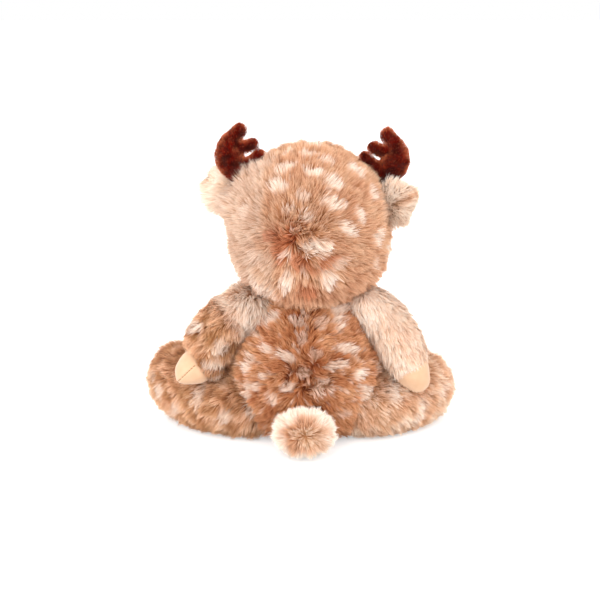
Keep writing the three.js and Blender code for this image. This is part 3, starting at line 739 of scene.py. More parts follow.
headCentre = pivots["neck"]
bodyCentre = np.array([4, 0, 60]) * mm
headTree = treeOf(["head_back_panel", "head_face_panel"])
torsoTree = treeOf(["torso_back_panel", "torso_belly_panel"])


def backFacing(normals):
    return normals @ np.array(viewDirection(photoView["azimuth"], photoView["elevation"]))


def firstHit(tree, x, y):
    start, direction = photoRay(x, y)
    return np.array(tree.ray_cast(start, direction)[0])


# Head. Lengths are in mm. A pair is where a change starts and where it is complete.
headLook = {
    "perSquareMm": 2.1, "length": 11.4, "inset": 5.2, "lean": 36, "leanWander": 9, "leanScatter": 9,
    "width": 0.62, "wander": 0.38, "wanderSize": 20, "scatter": 0.16, "roll": 0.9, "floorGap": 0.3,
    "seenShare": 0.7, "softness": 0.4,
    "clumps": [{"size": 1.7, "share": 0.42}, {"size": 3.8, "share": 0.26}, {"size": 6.5, "share": 0.17}],
    # Form and flow
    "voxel": 2.2, "smoothing": 8, "radius": 66, "seam": 3, "seamBlend": 17, "seamHang": 0.8,
    "whorlPixel": (289, 244), "whorlReach": 29, "whorlUnrest": 1.7, "whorlUnrestSize": 13, "noseRise": 0.35,
    "lowHair": (0.0, -0.6), "lowLonger": 0.5, "mostExtra": 0.9, "eyeRoom": (8, 16), "eyeShortest": 0.35,
    "tuft": 0.75, "lowTuft": (-0.1, -0.6), "lowTuftMore": 1.7, "whorlTuftReach": 24, "whorlTuftMore": 0.9,
    # Colours
    "spotSpacing": 20, "spotSize": 13, "cheekLine": 30, "cheekFacing": -0.35, "foreheadFacing": -0.8,
    "foreheadRise": 0.52, "paleSide": (0.36, 0.66), "paleWander": 0.14, "paleWanderSize": 25,
    "paleShare": 0.6, "under": (-0.35, -0.75), "undersideShade": 0.3, "front": (-0.4, -0.65),
    "frontWander": 0.05, "frontWanderSize": 18, "muzzleLight": (14, -6), "eyeLight": (19, 11),
}
faceLook = dict(headLook, perSquareMm=1.9, length=9.5, lean=50)
# Where the head's hair grows longer, by the photograph's pixels: x, y, reach in mm, extra length, whiteness
headTufts = [
    (240, 185, 7, 0.8, 0.5), (247, 177, 7, 0.8, 0.45), (257, 169, 7, 0.7, 0.4), (268, 162, 6, 0.4, 0.2),
    (369, 168, 7, 0.7, 0.3), (377, 176, 7, 0.8, 0.4), (385, 184, 7, 0.8, 0.6), (238, 188, 6, 1.1, 0.6),
    (245, 181, 6, 0.9, 0.5), (263, 163, 7, -0.55, 0.0), (256, 168, 6, -0.4, 0.0),
    (236, 195, 7, 0.6, 0.35), (233, 205, 8, 0.9, 0.3), (232, 215, 7, 0.7, 0.2), (382, 191, 7, 0.7, 0.6),
    (383, 200, 7, 0.8, 0.5), (384, 210, 7, 0.5, 0.3), (252, 288, 9, 0.8, 0.4), (263, 296, 9, 0.6, 0.4),
]
headSkin = skinOf("head_skin", ["head_back_panel", "head_face_panel", "head_stuffing"],
                  headLook["voxel"], headLook["smoothing"])
whorl = firstHit(headTree, *headLook["whorlPixel"])
noseTip = np.array(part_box("nose")).mean(axis=0)
photoHeadSpots = placeSpots(headTree, headSpots)
photoHeadDeep = placeSpots(headTree, headDeep)
eyePlaces = {side: np.array(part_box(f"eye_{side}")).mean(axis=0) for side in ("left", "right")}
headRadius = headLook["radius"] * mm
faceSeam = headCentre[1] - headLook["seam"] * mm


def faceShare(points):
    blend = headLook["seamBlend"] * mm
    return smoothStep(blend, -blend, points[:, 1] - faceSeam)


def headFlow(points, normals):
    unrest = headLook["whorlUnrest"] * nearness(points, whorl, headLook["whorlReach"])[:, None]
    fromWhorl = unit(points - whorl) + wander(points, headLook["whorlUnrestSize"] * mm, 71) * unrest
    fromNose = unit(points - noseTip) + np.array([0, 0, headLook["noseRise"]])
    # Where the two meet, at the seam round the face, the hair hangs down along it.
    face = faceShare(points)[:, None]
    out = unit((points - headCentre)[:, [0, 2]])
    hang = np.stack([np.sign(out[:, 0]) * out[:, 1], 0 * out[:, 0], -np.abs(out[:, 0])], axis=1)
    meeting = 4 * face * (1 - face)
    grown = fromWhorl * (1 - face) + fromNose * face
    return grown * (1 - headLook["seamHang"] * meeting) + hang * meeting


def headSpotAllowed(root, normal):
    cheekLine = headCentre[2] - headLook["cheekLine"] * mm
    aboveCheek = normal[1] > headLook["cheekFacing"] and root[2] > cheekLine
    onForehead = normal[1] > headLook["foreheadFacing"] and normal[2] > headLook["foreheadRise"]
    return backFacing(normal) < photoEdge["head"] and (aboveCheek or onForehead)


hiddenHeadSpots = scatterSpots(headSkin, headLook["spotSpacing"], headLook["spotSize"], 41,
                               headSpotAllowed)
tuftPlaces = []
for x, y, *tuftValues in headTufts:
    hit = headTree.ray_cast(*photoRay(x, y))[0]
    if hit is not None:
        tuftPlaces.append((np.array(hit), *tuftValues))


def headTint(points, normals):
    sideways = (points - headCentre)[:, 0] / headRadius
    sideways = sideways + headLook["paleWander"] * waves(points, headLook["paleWanderSize"] * mm, 3)
    pale = smoothStep(*headLook["paleSide"], sideways)
    # Hair facing down is painted darker: painted shade under the head.
    shadedUnderside = smoothStep(*headLook["under"], normals[:, 2])
    facing = normals[:, 1] + headLook["frontWander"] * waves(points, headLook["frontWanderSize"] * mm, 4)
    front = smoothStep(*headLook["front"], facing)
    low = smoothStep(*headLook["muzzleLight"], (points[:, 2] - noseTip[2]) / mm)
    for place in eyePlaces.values():
        gap = np.linalg.norm(points - place, axis=1) / mm
        low = np.maximum(low, smoothStep(*headLook["eyeLight"], gap))
    spot = spotMask(points, photoHeadSpots + hiddenHeadSpots)
    for centre, reach, _, white in tuftPlaces:
        spot = np.maximum(spot, white * nearness(points, centre, reach))
    return {
        "spot": spot,
        "deep": np.maximum(spotMask(points, photoHeadDeep, 9), shadedUnderside * headLook["undersideShade"]),
        "pale": np.maximum(pale * headLook["paleShare"] * (1 - front), front * low),
    }


headNeighbours = roomBeside(shellsOf("torso", "arm_", "antler", "muzzle_skin"))


def headRoom(points):
    height = (points - headCentre)[:, 2] / headRadius
    room = headNeighbours(points) * (1 + headLook["lowLonger"] * smoothStep(*headLook["lowHair"], height))
    extra = sum(longer * nearness(points, centre, reach) for centre, reach, longer, _ in tuftPlaces)
    room = room * (1 + np.minimum(headLook["mostExtra"], extra))
    shortest = headLook["eyeShortest"]
    for place in eyePlaces.values():
        gap = np.linalg.norm(points - place, axis=1) / mm
        grown = shortest + (1 - shortest) * smoothStep(*headLook["eyeRoom"], gap)
        room = room * np.where(gap < headLook["eyeRoom"][0], 0, grown)
    return room


def headTuft(points):
    low = smoothStep(*headLook["lowTuft"], (points - headCentre)[:, 2] / headRadius)
    unrest = nearness(points, whorl, headLook["whorlTuftReach"])
    return headLook["tuft"] + headLook["lowTuftMore"] * low + headLook["whorlTuftMore"] * unrest


growPile("head_fur_back", "head", headSkin, headLook, headFlow, headTint, headRoom, headPile, 101,
         lambda p, n: p[:, 1] > faceSeam, headTuft)
growPile("head_fur_face", "head", headSkin, faceLook, headFlow, headTint, headRoom, headPile, 102,
         lambda p, n: p[:, 1] <= faceSeam)
paintSkin(headSkin, headTint)
moveIn(headSkin, headLook["inset"])

# Body
torsoLook = {
    "perSquareMm": 2.1, "length": 11.6, "inset": 5.2, "lean": 30, "leanWander": 14, "leanScatter": 10,
    "width": 0.62, "wander": 0.6, "wanderSize": 16, "scatter": 0.22, "roll": 0.9, "floorGap": 0.3,
    "seenShare": 0.7, "softness": 0.4,
    "clumps": [{"size": 1.8, "share": 0.5}, {"size": 4.0, "share": 0.34}],
    # Form and flow
    "voxel": 2.2, "smoothing": 8, "seam": -14, "soleFacing": -0.8, "front": (-10, -20), "riseReach": 45,
    "riseLimits": (-0.9, 0.8), "unrest": 1.5, "unrestReach": 24, "unrestSize": 14, "partingReach": 16,
    "partingBend": 8, "partingBendSize": 55, "partingStretch": (0.3, 0, 1), "bellySpread": 0.3,
    "bellyReach": 60, "shoulderReach": 17, "shoulderLonger": 0.45,
    # Colours
    "spotSpacing": 21, "spotSize": 14, "spotLowest": 12, "spotFacing": -0.4, "deep": 0.06,
    "patchDeep": 0.4, "patch": (-0.4, 0.8), "patchSize": 21, "spineDeep": 0.55, "spineReach": 27,
    "spine": (-5, 15), "spineMean": 0.8, "spineSwing": 0.5, "spineSize": 14, "back": (-30, -5),
    "belly": (-12, -22), "fleckWhite": 0.42, "fleck": (0.45, 1.0), "fleckSize": 8, "grain": 0.15,
    "grainSize": 3,
}
bellyLook = dict(torsoLook, perSquareMm=1.6, length=9.5, lean=50)
torsoNodes = ["torso_back_panel", "torso_belly_panel", "torso_stuffing", "seat_pellet_bag"]
torsoSkin = skinOf("torso_skin", torsoNodes, torsoLook["voxel"], torsoLook["smoothing"])


def torsoSpotAllowed(root, normal):
    behind = normal[1] > torsoLook["spotFacing"] and root[2] > torsoLook["spotLowest"] * mm
    return backFacing(normal) < photoEdge["torso"] and behind


torsoSpots = placeSpots(torsoTree, bodySpots)
torsoSpots += scatterSpots(torsoSkin, torsoLook["spotSpacing"], torsoLook["spotSize"], 43,
                           torsoSpotAllowed)


def torsoFlow(points, normals):
    # Away from the spine, upwards on the upper back and down near the floor
    away = points - bodyCentre
    rise = np.clip(away[:, 2] / (torsoLook["riseReach"] * mm), *torsoLook["riseLimits"])
    spread = ((away[:, [0, 2]] / (torsoLook["unrestReach"] * mm)) ** 2).sum(axis=1)
    unrest = torsoLook["unrest"] * np.exp(-spread)[:, None]
    bend = waves(points * np.array(torsoLook["partingStretch"]), torsoLook["partingBendSize"] * mm, 29)
    parting = (away[:, 0] + torsoLook["partingBend"] * mm * bend) / (torsoLook["partingReach"] * mm)
    back = np.stack([np.tanh(parting), 0 * rise, rise], axis=1)
    back = back + wander(points, torsoLook["unrestSize"] * mm, 73) * unrest
    outward = torsoLook["bellySpread"] * away[:, 0] / (torsoLook["bellyReach"] * mm)
    belly = np.stack([outward, 0 * rise, -1 + 0 * rise], axis=1)
    front = smoothStep(*torsoLook["front"], points[:, 1] / mm)[:, None]
    return back * (1 - front) + belly * front


def torsoTint(points, normals):
    depth = points[:, 1] / mm
    across = (points - bodyCentre)[:, 0] / mm
    spine = np.exp(-(across / torsoLook["spineReach"]) ** 2) * smoothStep(*torsoLook["spine"], depth)
    uneven = torsoLook["spineSwing"] * waves(points, torsoLook["spineSize"] * mm, 17)
    spine = spine * (torsoLook["spineMean"] + uneven)
    patch = smoothStep(*torsoLook["patch"], waves(points, torsoLook["patchSize"] * mm, 19))
    deep = torsoLook["deep"] + torsoLook["patchDeep"] * patch + torsoLook["spineDeep"] * spine
    belly = smoothStep(*torsoLook["belly"], depth)
    grain = torsoLook["grain"] * waves(points, torsoLook["grainSize"] * mm, 39)
    fleck = waves(points, torsoLook["fleckSize"] * mm, 37) + grain
    flecks = torsoLook["fleckWhite"] * smoothStep(*torsoLook["fleck"], fleck)
    return {
        "spot": np.maximum(spotMask(points, torsoSpots), flecks) * (1 - belly),
        "deep": np.clip(deep * smoothStep(*torsoLook["back"], depth), 0, 1),
        "pale": belly,
    }


torsoNeighbours = roomBeside(shellsOf("head", "arm_", "leg_", "tail"))


def torsoRoom(points):
    shoulders = (pivots["arm_left"], pivots["arm_right"])
    near = sum(nearness(points, place, torsoLook["shoulderReach"]) for place in shoulders)
    return torsoNeighbours(points) * (1 + torsoLook["shoulderLonger"] * near)


def offFloor(normals):
    return normals[:, 2] > torsoLook["soleFacing"]


growPile("torso_fur_back", "torso", torsoSkin, torsoLook, torsoFlow, torsoTint, torsoRoom, furPile, 111,
         lambda p, n: (p[:, 1] > torsoLook["seam"] * mm) & offFloor(n))
growPile("torso_fur_belly", "torso", torsoSkin, bellyLook, torsoFlow, torsoTint, torsoRoom, furPile, 112,
         lambda p, n: (p[:, 1] <= torsoLook["seam"] * mm) & offFloor(n))
paintSkin(torsoSkin, torsoTint)
moveIn(torsoSkin, torsoLook["inset"])

# Arms and legs. The top of each arm swells up to the head: a pixel of the photograph, swell and reach in mm.
legLook = {
    "softness": 0.5, "roll": 0.8, "course": 0.2, "length": 12.5, "lean": 40, "wander": 0.45, "inward": 0.0,
    "high": 0.0, "white": 0.0, "cuff": (5.0, 0.75), "gather": 1.0,
}
limbLooks = {
    "arm_left": {
        "softness": 0.7, "roll": 0.8, "course": 1.0, "length": 13.0, "lean": 46, "wander": 0.5,
        "inward": 1.2, "high": 1.0, "white": 0.0, "cuff": (12.0, 0.5), "gather": 1.0,
        # Its dark patches are partly the fur's own colour, partly painted shade from the crease by the body.
        "pale": 0.22, "deep": 1.0, "swell": (249, 292, 4.0, 12),
    },
    "arm_right": {
        "softness": 1.1, "roll": 0.5, "course": 1.0, "length": 11.5, "lean": 60, "wander": 0.25,
        "inward": 1.2, "high": 1.0, "white": 0.55, "cuff": (5.0, 0.75), "gather": 0.5,
        "pale": 1.1, "deep": 0.0, "swell": (364, 297, 6.0, 13),
    },
    # The left leg's dark patches are partly its own colour, partly painted shade near the arm.
    "leg_left": dict(legLook, pale=0.3, deep=0.75),
    "leg_right": dict(legLook, pale=0.7, deep=0.1),
}
limbPile = {
    "perSquareMm": 2.0, "inset": 5.2, "leanWander": 12, "leanScatter": 12, "width": 0.64, "wanderSize": 17,
    "scatter": 0.18, "roll": 0.9, "floorGap": 0.3, "seenShare": 0.7, "softness": 0.35,
    "clumps": [{"size": 1.4, "share": 0.55}, {"size": 3.0, "share": 0.42}],
}
# What all four have in common
limbLook = {
    # Form and flow
    "voxel": 2.0, "smoothing": 10, "clear": 0.35, "cuffClear": 2.6, "drop": 0.35, "outward": 0.6,
    "slump": 0.5, "inwardReach": 19, "topReach": 18, "topLonger": 0.55, "soleFacing": -0.9, "soleHeight": 2,
    # Colours
    "spotSpacing": 21, "spotSize": 14, "spotLowest": 8, "front": (0.2, -0.5), "frontPale": 0.5,
    "patch": (-0.5, 0.6), "patchSize": 15, "nearFloor": (9, 3), "nearFloorDeep": 0.35, "topLitClear": (40, 24),
    "topCreamAndLitPale": (40, 20), "topLitWhite": 0.95, "paleMean": 0.55, "paleSwing": 0.9, "palePatch": (0.3, -0.7),
}
limbTrees = {name: treeOf([f"{name}_sleeve"]) for name in limbLooks}


def limbFlow(pivot, end, look):
    loose = 1 - look["course"]
    course = unit(end - pivot) * look["course"]
    fall = -limbLook["drop"] - loose * limbLook["slump"]
    outward = np.array([np.sign(pivot[0]) * loose * limbLook["outward"], 0, fall])

    def flow(points, normals):
        near = look["inward"] * nearness(points, pivot, limbLook["inwardReach"])[:, None]
        return course + outward + near * unit(headCentre - points)

    return flow


def limbTint(pivot, look, spots, seed):
    def tint(points, normals):
        front = smoothStep(*limbLook["front"], normals[:, 1]) * limbLook["frontPale"]
        patch = waves(points, limbLook["patchSize"] * mm, seed + 3)
        fromTop = np.linalg.norm(points - pivot, axis=1) / mm
        deep = look["deep"] * smoothStep(*limbLook["patch"], patch)
        # Darker where the fur comes within a few mm of the floor.
        deep = np.maximum(deep, limbLook["nearFloorDeep"] * smoothStep(*limbLook["nearFloor"], points[:, 2] / mm))
        # Near the top of each arm (high) the dark patches are cleared and the hair made pale and white:
        # partly the fur's cream colour at the shoulder, partly painted light lifting the shade under the
        # head.
        deep = deep * (1 - look["high"] * smoothStep(*limbLook["topLitClear"], fromTop))
        mottled = limbLook["paleMean"] + limbLook["paleSwing"] * smoothStep(*limbLook["palePatch"], patch)
        top = look["high"] * smoothStep(*limbLook["topCreamAndLitPale"], fromTop)
        pale = np.maximum(look["pale"] * mottled, np.maximum(top, front))
        white = np.maximum(look["white"], limbLook["topLitWhite"] * top)
        return {
            "spot": np.maximum(spotMask(points, spots, seed), white),
            "deep": np.clip(deep, 0, 1),
            "pale": np.clip(pale, 0, 1),
        }

    return tint


def limbRoom(name, pivot, look):
    neighbours = [n for n in shellsOf("head", "torso", "arm_", "leg_") if not n.startswith(name)]
    beside = roomBeside(neighbours, clear=limbLook["clear"])
    cuff = roomBeside([f"{name}_hoof"], limbLook["cuffClear"], *look["cuff"])

    def room(points):
        longer = 1 + limbLook["topLonger"] * nearness(points, pivot, limbLook["topReach"])
        return beside(points) * cuff(points) * longer

    return room


def limbOfPixel(row):
    # The arm or leg that a pixel of the photograph lands on
    start, direction = photoRay(row[0], row[1])
    hits = {name: tree.ray_cast(start, direction) for name, tree in limbTrees.items()}
    reached = {name: hit[3] for name, hit in hits.items() if hit[0] is not None}
    return min(reached, key=reached.get) if reached else None


def limbSpotAllowed(root, normal):
    return backFacing(normal) < photoEdge["limb"] and root[2] > limbLook["spotLowest"] * mm


def growLimb(name, seed):
    look = limbLooks[name]
    skin = skinOf(f"{name}_skin", [f"{name}_sleeve", f"{name}_stuffing"],
                  limbLook["voxel"], limbLook["smoothing"])
    if "swell" in look:
        x, y, swell, reach = look["swell"]
        points, normals, _ = arraysOf(skin.data)
        swelled = swell * mm * nearness(points, firstHit(limbTrees[name], x, y), reach)
        skin.data.vertices.foreach_set("co", (points + normals * swelled[:, None]).ravel())
        skin.data.update()
    spots = placeSpots(limbTrees[name], [row for row in limbSpots if limbOfPixel(row) == name])
    spots += scatterSpots(skin, limbLook["spotSpacing"], limbLook["spotSize"], seed + 7, limbSpotAllowed)
    pivot = pivots[name]
    hoof = np.array(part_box(f"{name}_hoof")).mean(axis=0)
    tint = limbTint(pivot, look, spots, seed)
    pile = dict(limbPile, **{key: look[key] for key in ("length", "lean", "wander", "softness", "roll")})
    pile["clumps"] = [dict(clump, share=clump["share"] * look["gather"]) for clump in limbPile["clumps"]]

    def onSole(points, normals):
        return (normals[:, 2] < limbLook["soleFacing"]) & (points[:, 2] < limbLook["soleHeight"] * mm)

    growPile(f"{name}_fur", name, skin, pile, limbFlow(pivot, hoof, look), tint, limbRoom(name, pivot, look),
             limbFur, seed, lambda p, n: ~onSole(p, n))
    paintSkin(skin, tint)
    moveIn(skin, limbPile["inset"])
    return skin


limbSkins = {name: growLimb(name, 200 + 10 * k) for k, name in enumerate(limbLooks)}

# Tail: dark round the pole that points away from the body
tailLook = {
    **limbPile, "softness": 0.5, "length": 11.0, "lean": 26, "wander": 0.3, "perSquareMm": 2.4,
    "voxel": 1.6, "smoothing": 10, "poleRise": 2,
    # Colours
    "ringStart": (8, 12), "ringEnd": (25, 18), "stretch": (1, 0.9, 1.25), "ringWander": 3.5,
    "ringWanderSize": 12, "white": (14, 22), "deep": 0.1, "notPale": 0.85, "sideMean": 0.65,
    "sideSwing": 0.35, "sideReach": 8, "sideRise": 14,
}
tailSkin = skinOf("tail_backing", ["tail_skin", "tail_stuffing"], tailLook["voxel"], tailLook["smoothing"])
tailLow, tailHigh = (np.array(corner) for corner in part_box("tail_skin"))
tailPole = (tailLow + tailHigh) / 2 + np.array([0, 0, tailLook["poleRise"] * mm])
tailPole[1] = tailHigh[1]


def tailTint(points, normals):
    offset = points - tailPole
    away = np.linalg.norm(offset * np.array(tailLook["stretch"]), axis=1) / mm
    away = away + tailLook["ringWander"] * waves(points, tailLook["ringWanderSize"] * mm, 77)
    slant = offset[:, 0] / (tailLook["sideReach"] * mm) + offset[:, 2] / (tailLook["sideRise"] * mm)
    leftward = tailLook["sideMean"] + tailLook["sideSwing"] * np.tanh(slant)
    ring = smoothStep(*tailLook["ringStart"], away) * smoothStep(*tailLook["ringEnd"], away) * leftward
    return {
        "spot": smoothStep(*tailLook["white"], away),
        "deep": ring * tailLook["deep"],
        "pale": np.clip(1 - ring * tailLook["notPale"], 0, 1),
    }


growPile("tail_fur", "tail", tailSkin, tailLook, lambda p, n: unit(p - tailPole), tailTint,
         roomBeside(["torso_back_panel"]), furPile, 301)
paintSkin(tailSkin, tailTint)
moveIn(tailSkin, tailLook["inset"])

# Ears. Their outline comes from the length of the hair. A place is in mm from the ear's root.
earLook = {
    **limbPile, "softness": 0.9, "length": 11.0, "inset": 3.4, "lean": 50, "wander": 0.35,
    "perSquareMm": 2.8, "width": 0.56, "clumps": [{"size": 1.3, "share": 0.5}, {"size": 2.8, "share": 0.4}],
    # Form and flow
    "voxel": 1.0, "smoothing": 6, "clear": 0.4, "full": 1.5, "shortest": 0.85, "outUp": (0.82, 0.57),
    "front": -0.3, "sideways": 0.8, "fromRoot": 0.6, "rise": 0.7, "riseRange": (2, 13),
    "dropRange": (0, -14), "hollow": 13, "hollowRange": (13, 8), "hollowShorter": 0.5, "tipRange": (6, 20),
    "tipShorter": 0.15, "upLonger": 0.15, "lowRange": (0, 14),
    # What each ear has of its own, its colours last
    "left": {
        "drop": 1.3, "lowLonger": 0.65,
        "inner": (14, 6), "innerDeep": 0.25, "lower": (4, -12), "centre": 12, "centreRange": (14, 7),
        "outer": (8, 20), "white": 0.7,
    },
    "right": {
        "drop": 0.9, "lowShorter": 0.7, "corner": (-19, 0, 13), "cornerSpread": 80, "cornerPull": 2,
        "foot": (-1, 0, -14), "footSpread": 110, "footLonger": 1.2,
        "white": 0.85, "bandWidth": 3.5, "bandStart": (3, 8), "bandPale": 0.6, "tuft": (1, 11),
        "tuftSpread": 36, "middle": (-2, -4), "middleSpread": 34, "middleDeep": 0.4, "leastPale": 0.3,
    },
}


def bump(away, place, spread):
    # 1 at the place, fading out over the square root of the spread
    return np.exp(-((away - np.array(place)) ** 2).sum(axis=1) / spread)


def leftEarTint(away, front):
    marks = earLook["left"]
    out = np.linalg.norm(away, axis=1)
    lower = smoothStep(*marks["lower"], away[:, 2])
    centre = smoothStep(*marks["centreRange"], np.abs(out - marks["centre"])) * front
    outer = smoothStep(*marks["outer"], out)
    return {
        "spot": marks["white"] * np.maximum(np.maximum(lower, outer), centre),
        "deep": marks["innerDeep"] * smoothStep(*marks["inner"], out) * ~front,
        "pale": np.ones(len(away)),
    }


def rightEarTint(away, front, outUp, innerUp):
    # A tan band along the ear, a tan middle, and a white tuft at its upper root
    marks = earLook["right"]
    band = np.exp(-((away @ innerUp) / marks["bandWidth"]) ** 2)
    band = band * smoothStep(*marks["bandStart"], away @ outUp)
    tuft = bump(away[:, [0, 2]], marks["tuft"], marks["tuftSpread"])
    middle = bump(away[:, [0, 2]], marks["middle"], marks["middleSpread"])
    white = marks["white"] * (1 - band) * (1 - middle)
    return {
        "spot": np.clip(np.maximum(white, tuft), 0, 1),
        "deep": marks["middleDeep"] * middle * ~front,
        "pale": np.maximum(1 - marks["bandPale"] * band * ~front, marks["leastPale"]),
    }


def growEar(side, sign, seed):
    own = earLook[side]
    skin = skinOf(f"ear_{side}_skin", [f"ear_back_{side}", f"ear_lining_{side}"],
                  earLook["voxel"], earLook["smoothing"])
    root = pivots[f"ear_{side}"]
    out, up = earLook["outUp"]
    outUp = np.array([out * sign, 0, up])
    innerUp = np.array([-up * sign, 0, out])
    besideHead = roomBeside(["head_back_panel", "head_face_panel"], earLook["clear"], earLook["full"],
                            earLook["shortest"])

    def tint(points, normals):
        away = (points - root) / mm
        front = normals[:, 1] < earLook["front"]
        return leftEarTint(away, front) if side == "left" else rightEarTint(away, front, outUp, innerUp)

    def room(points):
        away = (points - root) / mm
        fromHollow = np.linalg.norm(away - outUp * earLook["hollow"], axis=1)
        inside = smoothStep(*earLook["hollowRange"], fromHollow) * (points[:, 1] < root[1])
        low = smoothStep(*earLook["lowRange"], -(away @ innerUp))
        reach = 1 - earLook["tipShorter"] * smoothStep(*earLook["tipRange"], away @ outUp)
        reach = reach + earLook["upLonger"] * smoothStep(*earLook["riseRange"], away @ innerUp)
        if side == "left":
            reach = reach * (1 + own["lowLonger"] * low)
        else:
            reach = reach - own["lowShorter"] * low
            reach = reach + bump(away, own["corner"], own["cornerSpread"])
            reach = reach + own["footLonger"] * bump(away, own["foot"], own["footSpread"])
        return besideHead(points) * reach * (1 - earLook["hollowShorter"] * inside)

    def flow(points, normals):
        away = (points - root) / mm
        rise = smoothStep(*earLook["riseRange"], away @ innerUp)[:, None]
        drop = smoothStep(*earLook["dropRange"], away[:, 2])[:, None] * own["drop"]
        way = unit(points - headCentre) + np.array([earLook["sideways"] * sign, 0, 0])
        if side == "right":
            corner = bump(away, own["corner"], own["cornerSpread"])[:, None]
            way = way + own["cornerPull"] * corner * outUp
        way = way + earLook["fromRoot"] * unit(points - root) + earLook["rise"] * rise * innerUp
        return way - drop * np.array([0, 0, 1])

    growPile(f"ear_{side}_fur", f"ear_{side}", skin, earLook, flow, tint, room, litEarFur, seed)
    paintSkin(skin, tint)
    moveIn(skin, earLook["inset"])
    return skin


earSkins = {"left": growEar("left", 1, 401), "right": growEar("right", -1, 399)}

# Muzzle and nose
muzzleLook = {
    **limbPile, "length": 4.6, "inset": 2.6, "lean": 52, "wander": 0.2, "perSquareMm": 3.2, "width": 0.45,
    "clumps": [{"size": 1.5, "share": 0.35}],
    "voxel": 1.2, "smoothing": 10, "clear": 0.5, "full": 2.5, "shortest": 0.6,
    "under": (0.2, -0.5), "underWhite": 0.55,
}
muzzleSkin = skinOf("muzzle_backing", ["muzzle_skin", "muzzle_stuffing"],
                    muzzleLook["voxel"], muzzleLook["smoothing"])
muzzleRoom = roomBeside(["head_back_panel", "head_face_panel", "nose"], muzzleLook["clear"],
                        muzzleLook["full"], muzzleLook["shortest"])


def muzzleTint(points, normals):
    under = smoothStep(*muzzleLook["under"], normals[:, 2])
    return {"pale": np.ones(len(points)), "spot": muzzleLook["underWhite"] * under}


growPile("muzzle_fur", "head", muzzleSkin, muzzleLook, lambda p, n: unit(p - noseTip), muzzleTint,
         muzzleRoom, furPile, 501)
paintSkin(muzzleSkin, muzzleTint)
moveIn(muzzleSkin, muzzleLook["inset"])

noseLook = {"voxel": 0.6, "smoothing": 14}
noseSkin = skinOf("nose_pad", ["nose"], noseLook["voxel"], noseLook["smoothing"])

# Antlers
antlerLook = {
    **limbPile, "softness": 0.0, "length": 3.1, "inset": 0.5, "lean": 42, "wander": 0.5, "wanderSize": 8,
    "perSquareMm": 7.0, "width": 0.3, "clumps": [{"size": 1.0, "share": 0.3}],
    # Form and flow
    "voxel": 0.8, "smoothing": 4, "outward": 1.1, "upward": 0.4, "swell": 0.4, "pileRise": 0.6,
    # Colours. The edges are partly the lighter seam and partly painted highlight; the pale patches are
    # painted sheen of brushed velvet.
    "rim": (0.2, 0.7), "edgeAndHighlightPatch": (-1.0, 0.3), "edgeAndHighlightPatchSize": 10, "edgeAndHighlightStart": (6, 16), "strays": 0.05,
    "strayLight": 0.8, "streak": (-0.2, 0.8), "streakSize": 7, "streakDeep": 0.75, "pale": (0.1, 0.9),
    "brushedSheenSize": 6, "paleShare": 0.8,
}


def growAntler(side, sign, seed):
    skin = skinOf(f"antler_{side}_skin", [f"antler_back_{side}", f"antler_front_{side}"],
                  antlerLook["voxel"], antlerLook["smoothing"])
    root = pivots[f"antler_{side}"]
    nudge = Vector((sign * antlerLook["outward"] * mm, 0, antlerLook["upward"] * mm))
    skin.data.transform(Matrix.Translation(nudge))
    moveIn(skin, -antlerLook["swell"])

    def tint(points, normals):
        # Lighter edges, partly seam and partly painted highlight, and pale patches of painted sheen on
        # brushed velvet
        rim = smoothStep(*antlerLook["rim"], np.sqrt(np.maximum(0, 1 - normals[:, 1] ** 2)))
        rim = rim * smoothStep(*antlerLook["edgeAndHighlightPatch"], waves(points, antlerLook["edgeAndHighlightPatchSize"] * mm, 61))
        rim = rim * smoothStep(*antlerLook["edgeAndHighlightStart"], np.linalg.norm(points - root, axis=1) / mm)
        stray = np.random.default_rng(69).random(len(points)) < antlerLook["strays"]
        streak = smoothStep(*antlerLook["streak"], waves(points, antlerLook["streakSize"] * mm, 63))
        pale = smoothStep(*antlerLook["pale"], waves(points, antlerLook["brushedSheenSize"] * mm, 67))
        return {
            "spot": np.maximum(rim, antlerLook["strayLight"] * stray),
            "deep": antlerLook["streakDeep"] * streak,
            "pale": antlerLook["paleShare"] * pale,
        }

    def flow(points, normals):
        return unit(points - root) + np.array([0, 0, antlerLook["pileRise"]])

    growPile(f"antler_{side}_pile", f"antler_{side}", skin, antlerLook, flow, tint,
             lambda p: np.ones(len(p)), velvetPile, seed)
    moveIn(skin, antlerLook["inset"])
    return skin


antlerSkins = {"left": growAntler("left", 1, 601), "right": growAntler("right", -1, 599)}


# Turned forms and threads
def addTurned(bm, profile, centre, turn, sides):
    # Rings of the profile's radii and heights, joined and closed at both ends
    rings = []
    for radius, height in profile:
        ring = []
        for k in range(sides):
            angle = 2 * math.pi * k / sides
            local = Vector((radius * math.cos(angle), radius * math.sin(angle), height))
            ring.append(bm.verts.new(Vector(centre) + turn @ local))
        rings.append(ring)
    for low, high in zip(rings, rings[1:]):
        for k in range(sides):
            after = (k + 1) % sides
            bm.faces.new((low[k], low[after], high[after], high[k])).smooth = True
    bm.faces.new(list(reversed(rings[0])))
    return bm.faces.new(rings[-1])


def meshFrom(bm, name):
    mesh = bpy.data.meshes.new(name)
    bm.to_mesh(mesh)
    bm.free()
    return meshObject(name, mesh)


def treeOfMesh(mesh):
    return bvhtree.BVHTree.FromPolygons([v.co for v in mesh.vertices], [p.vertices for p in mesh.polygons])


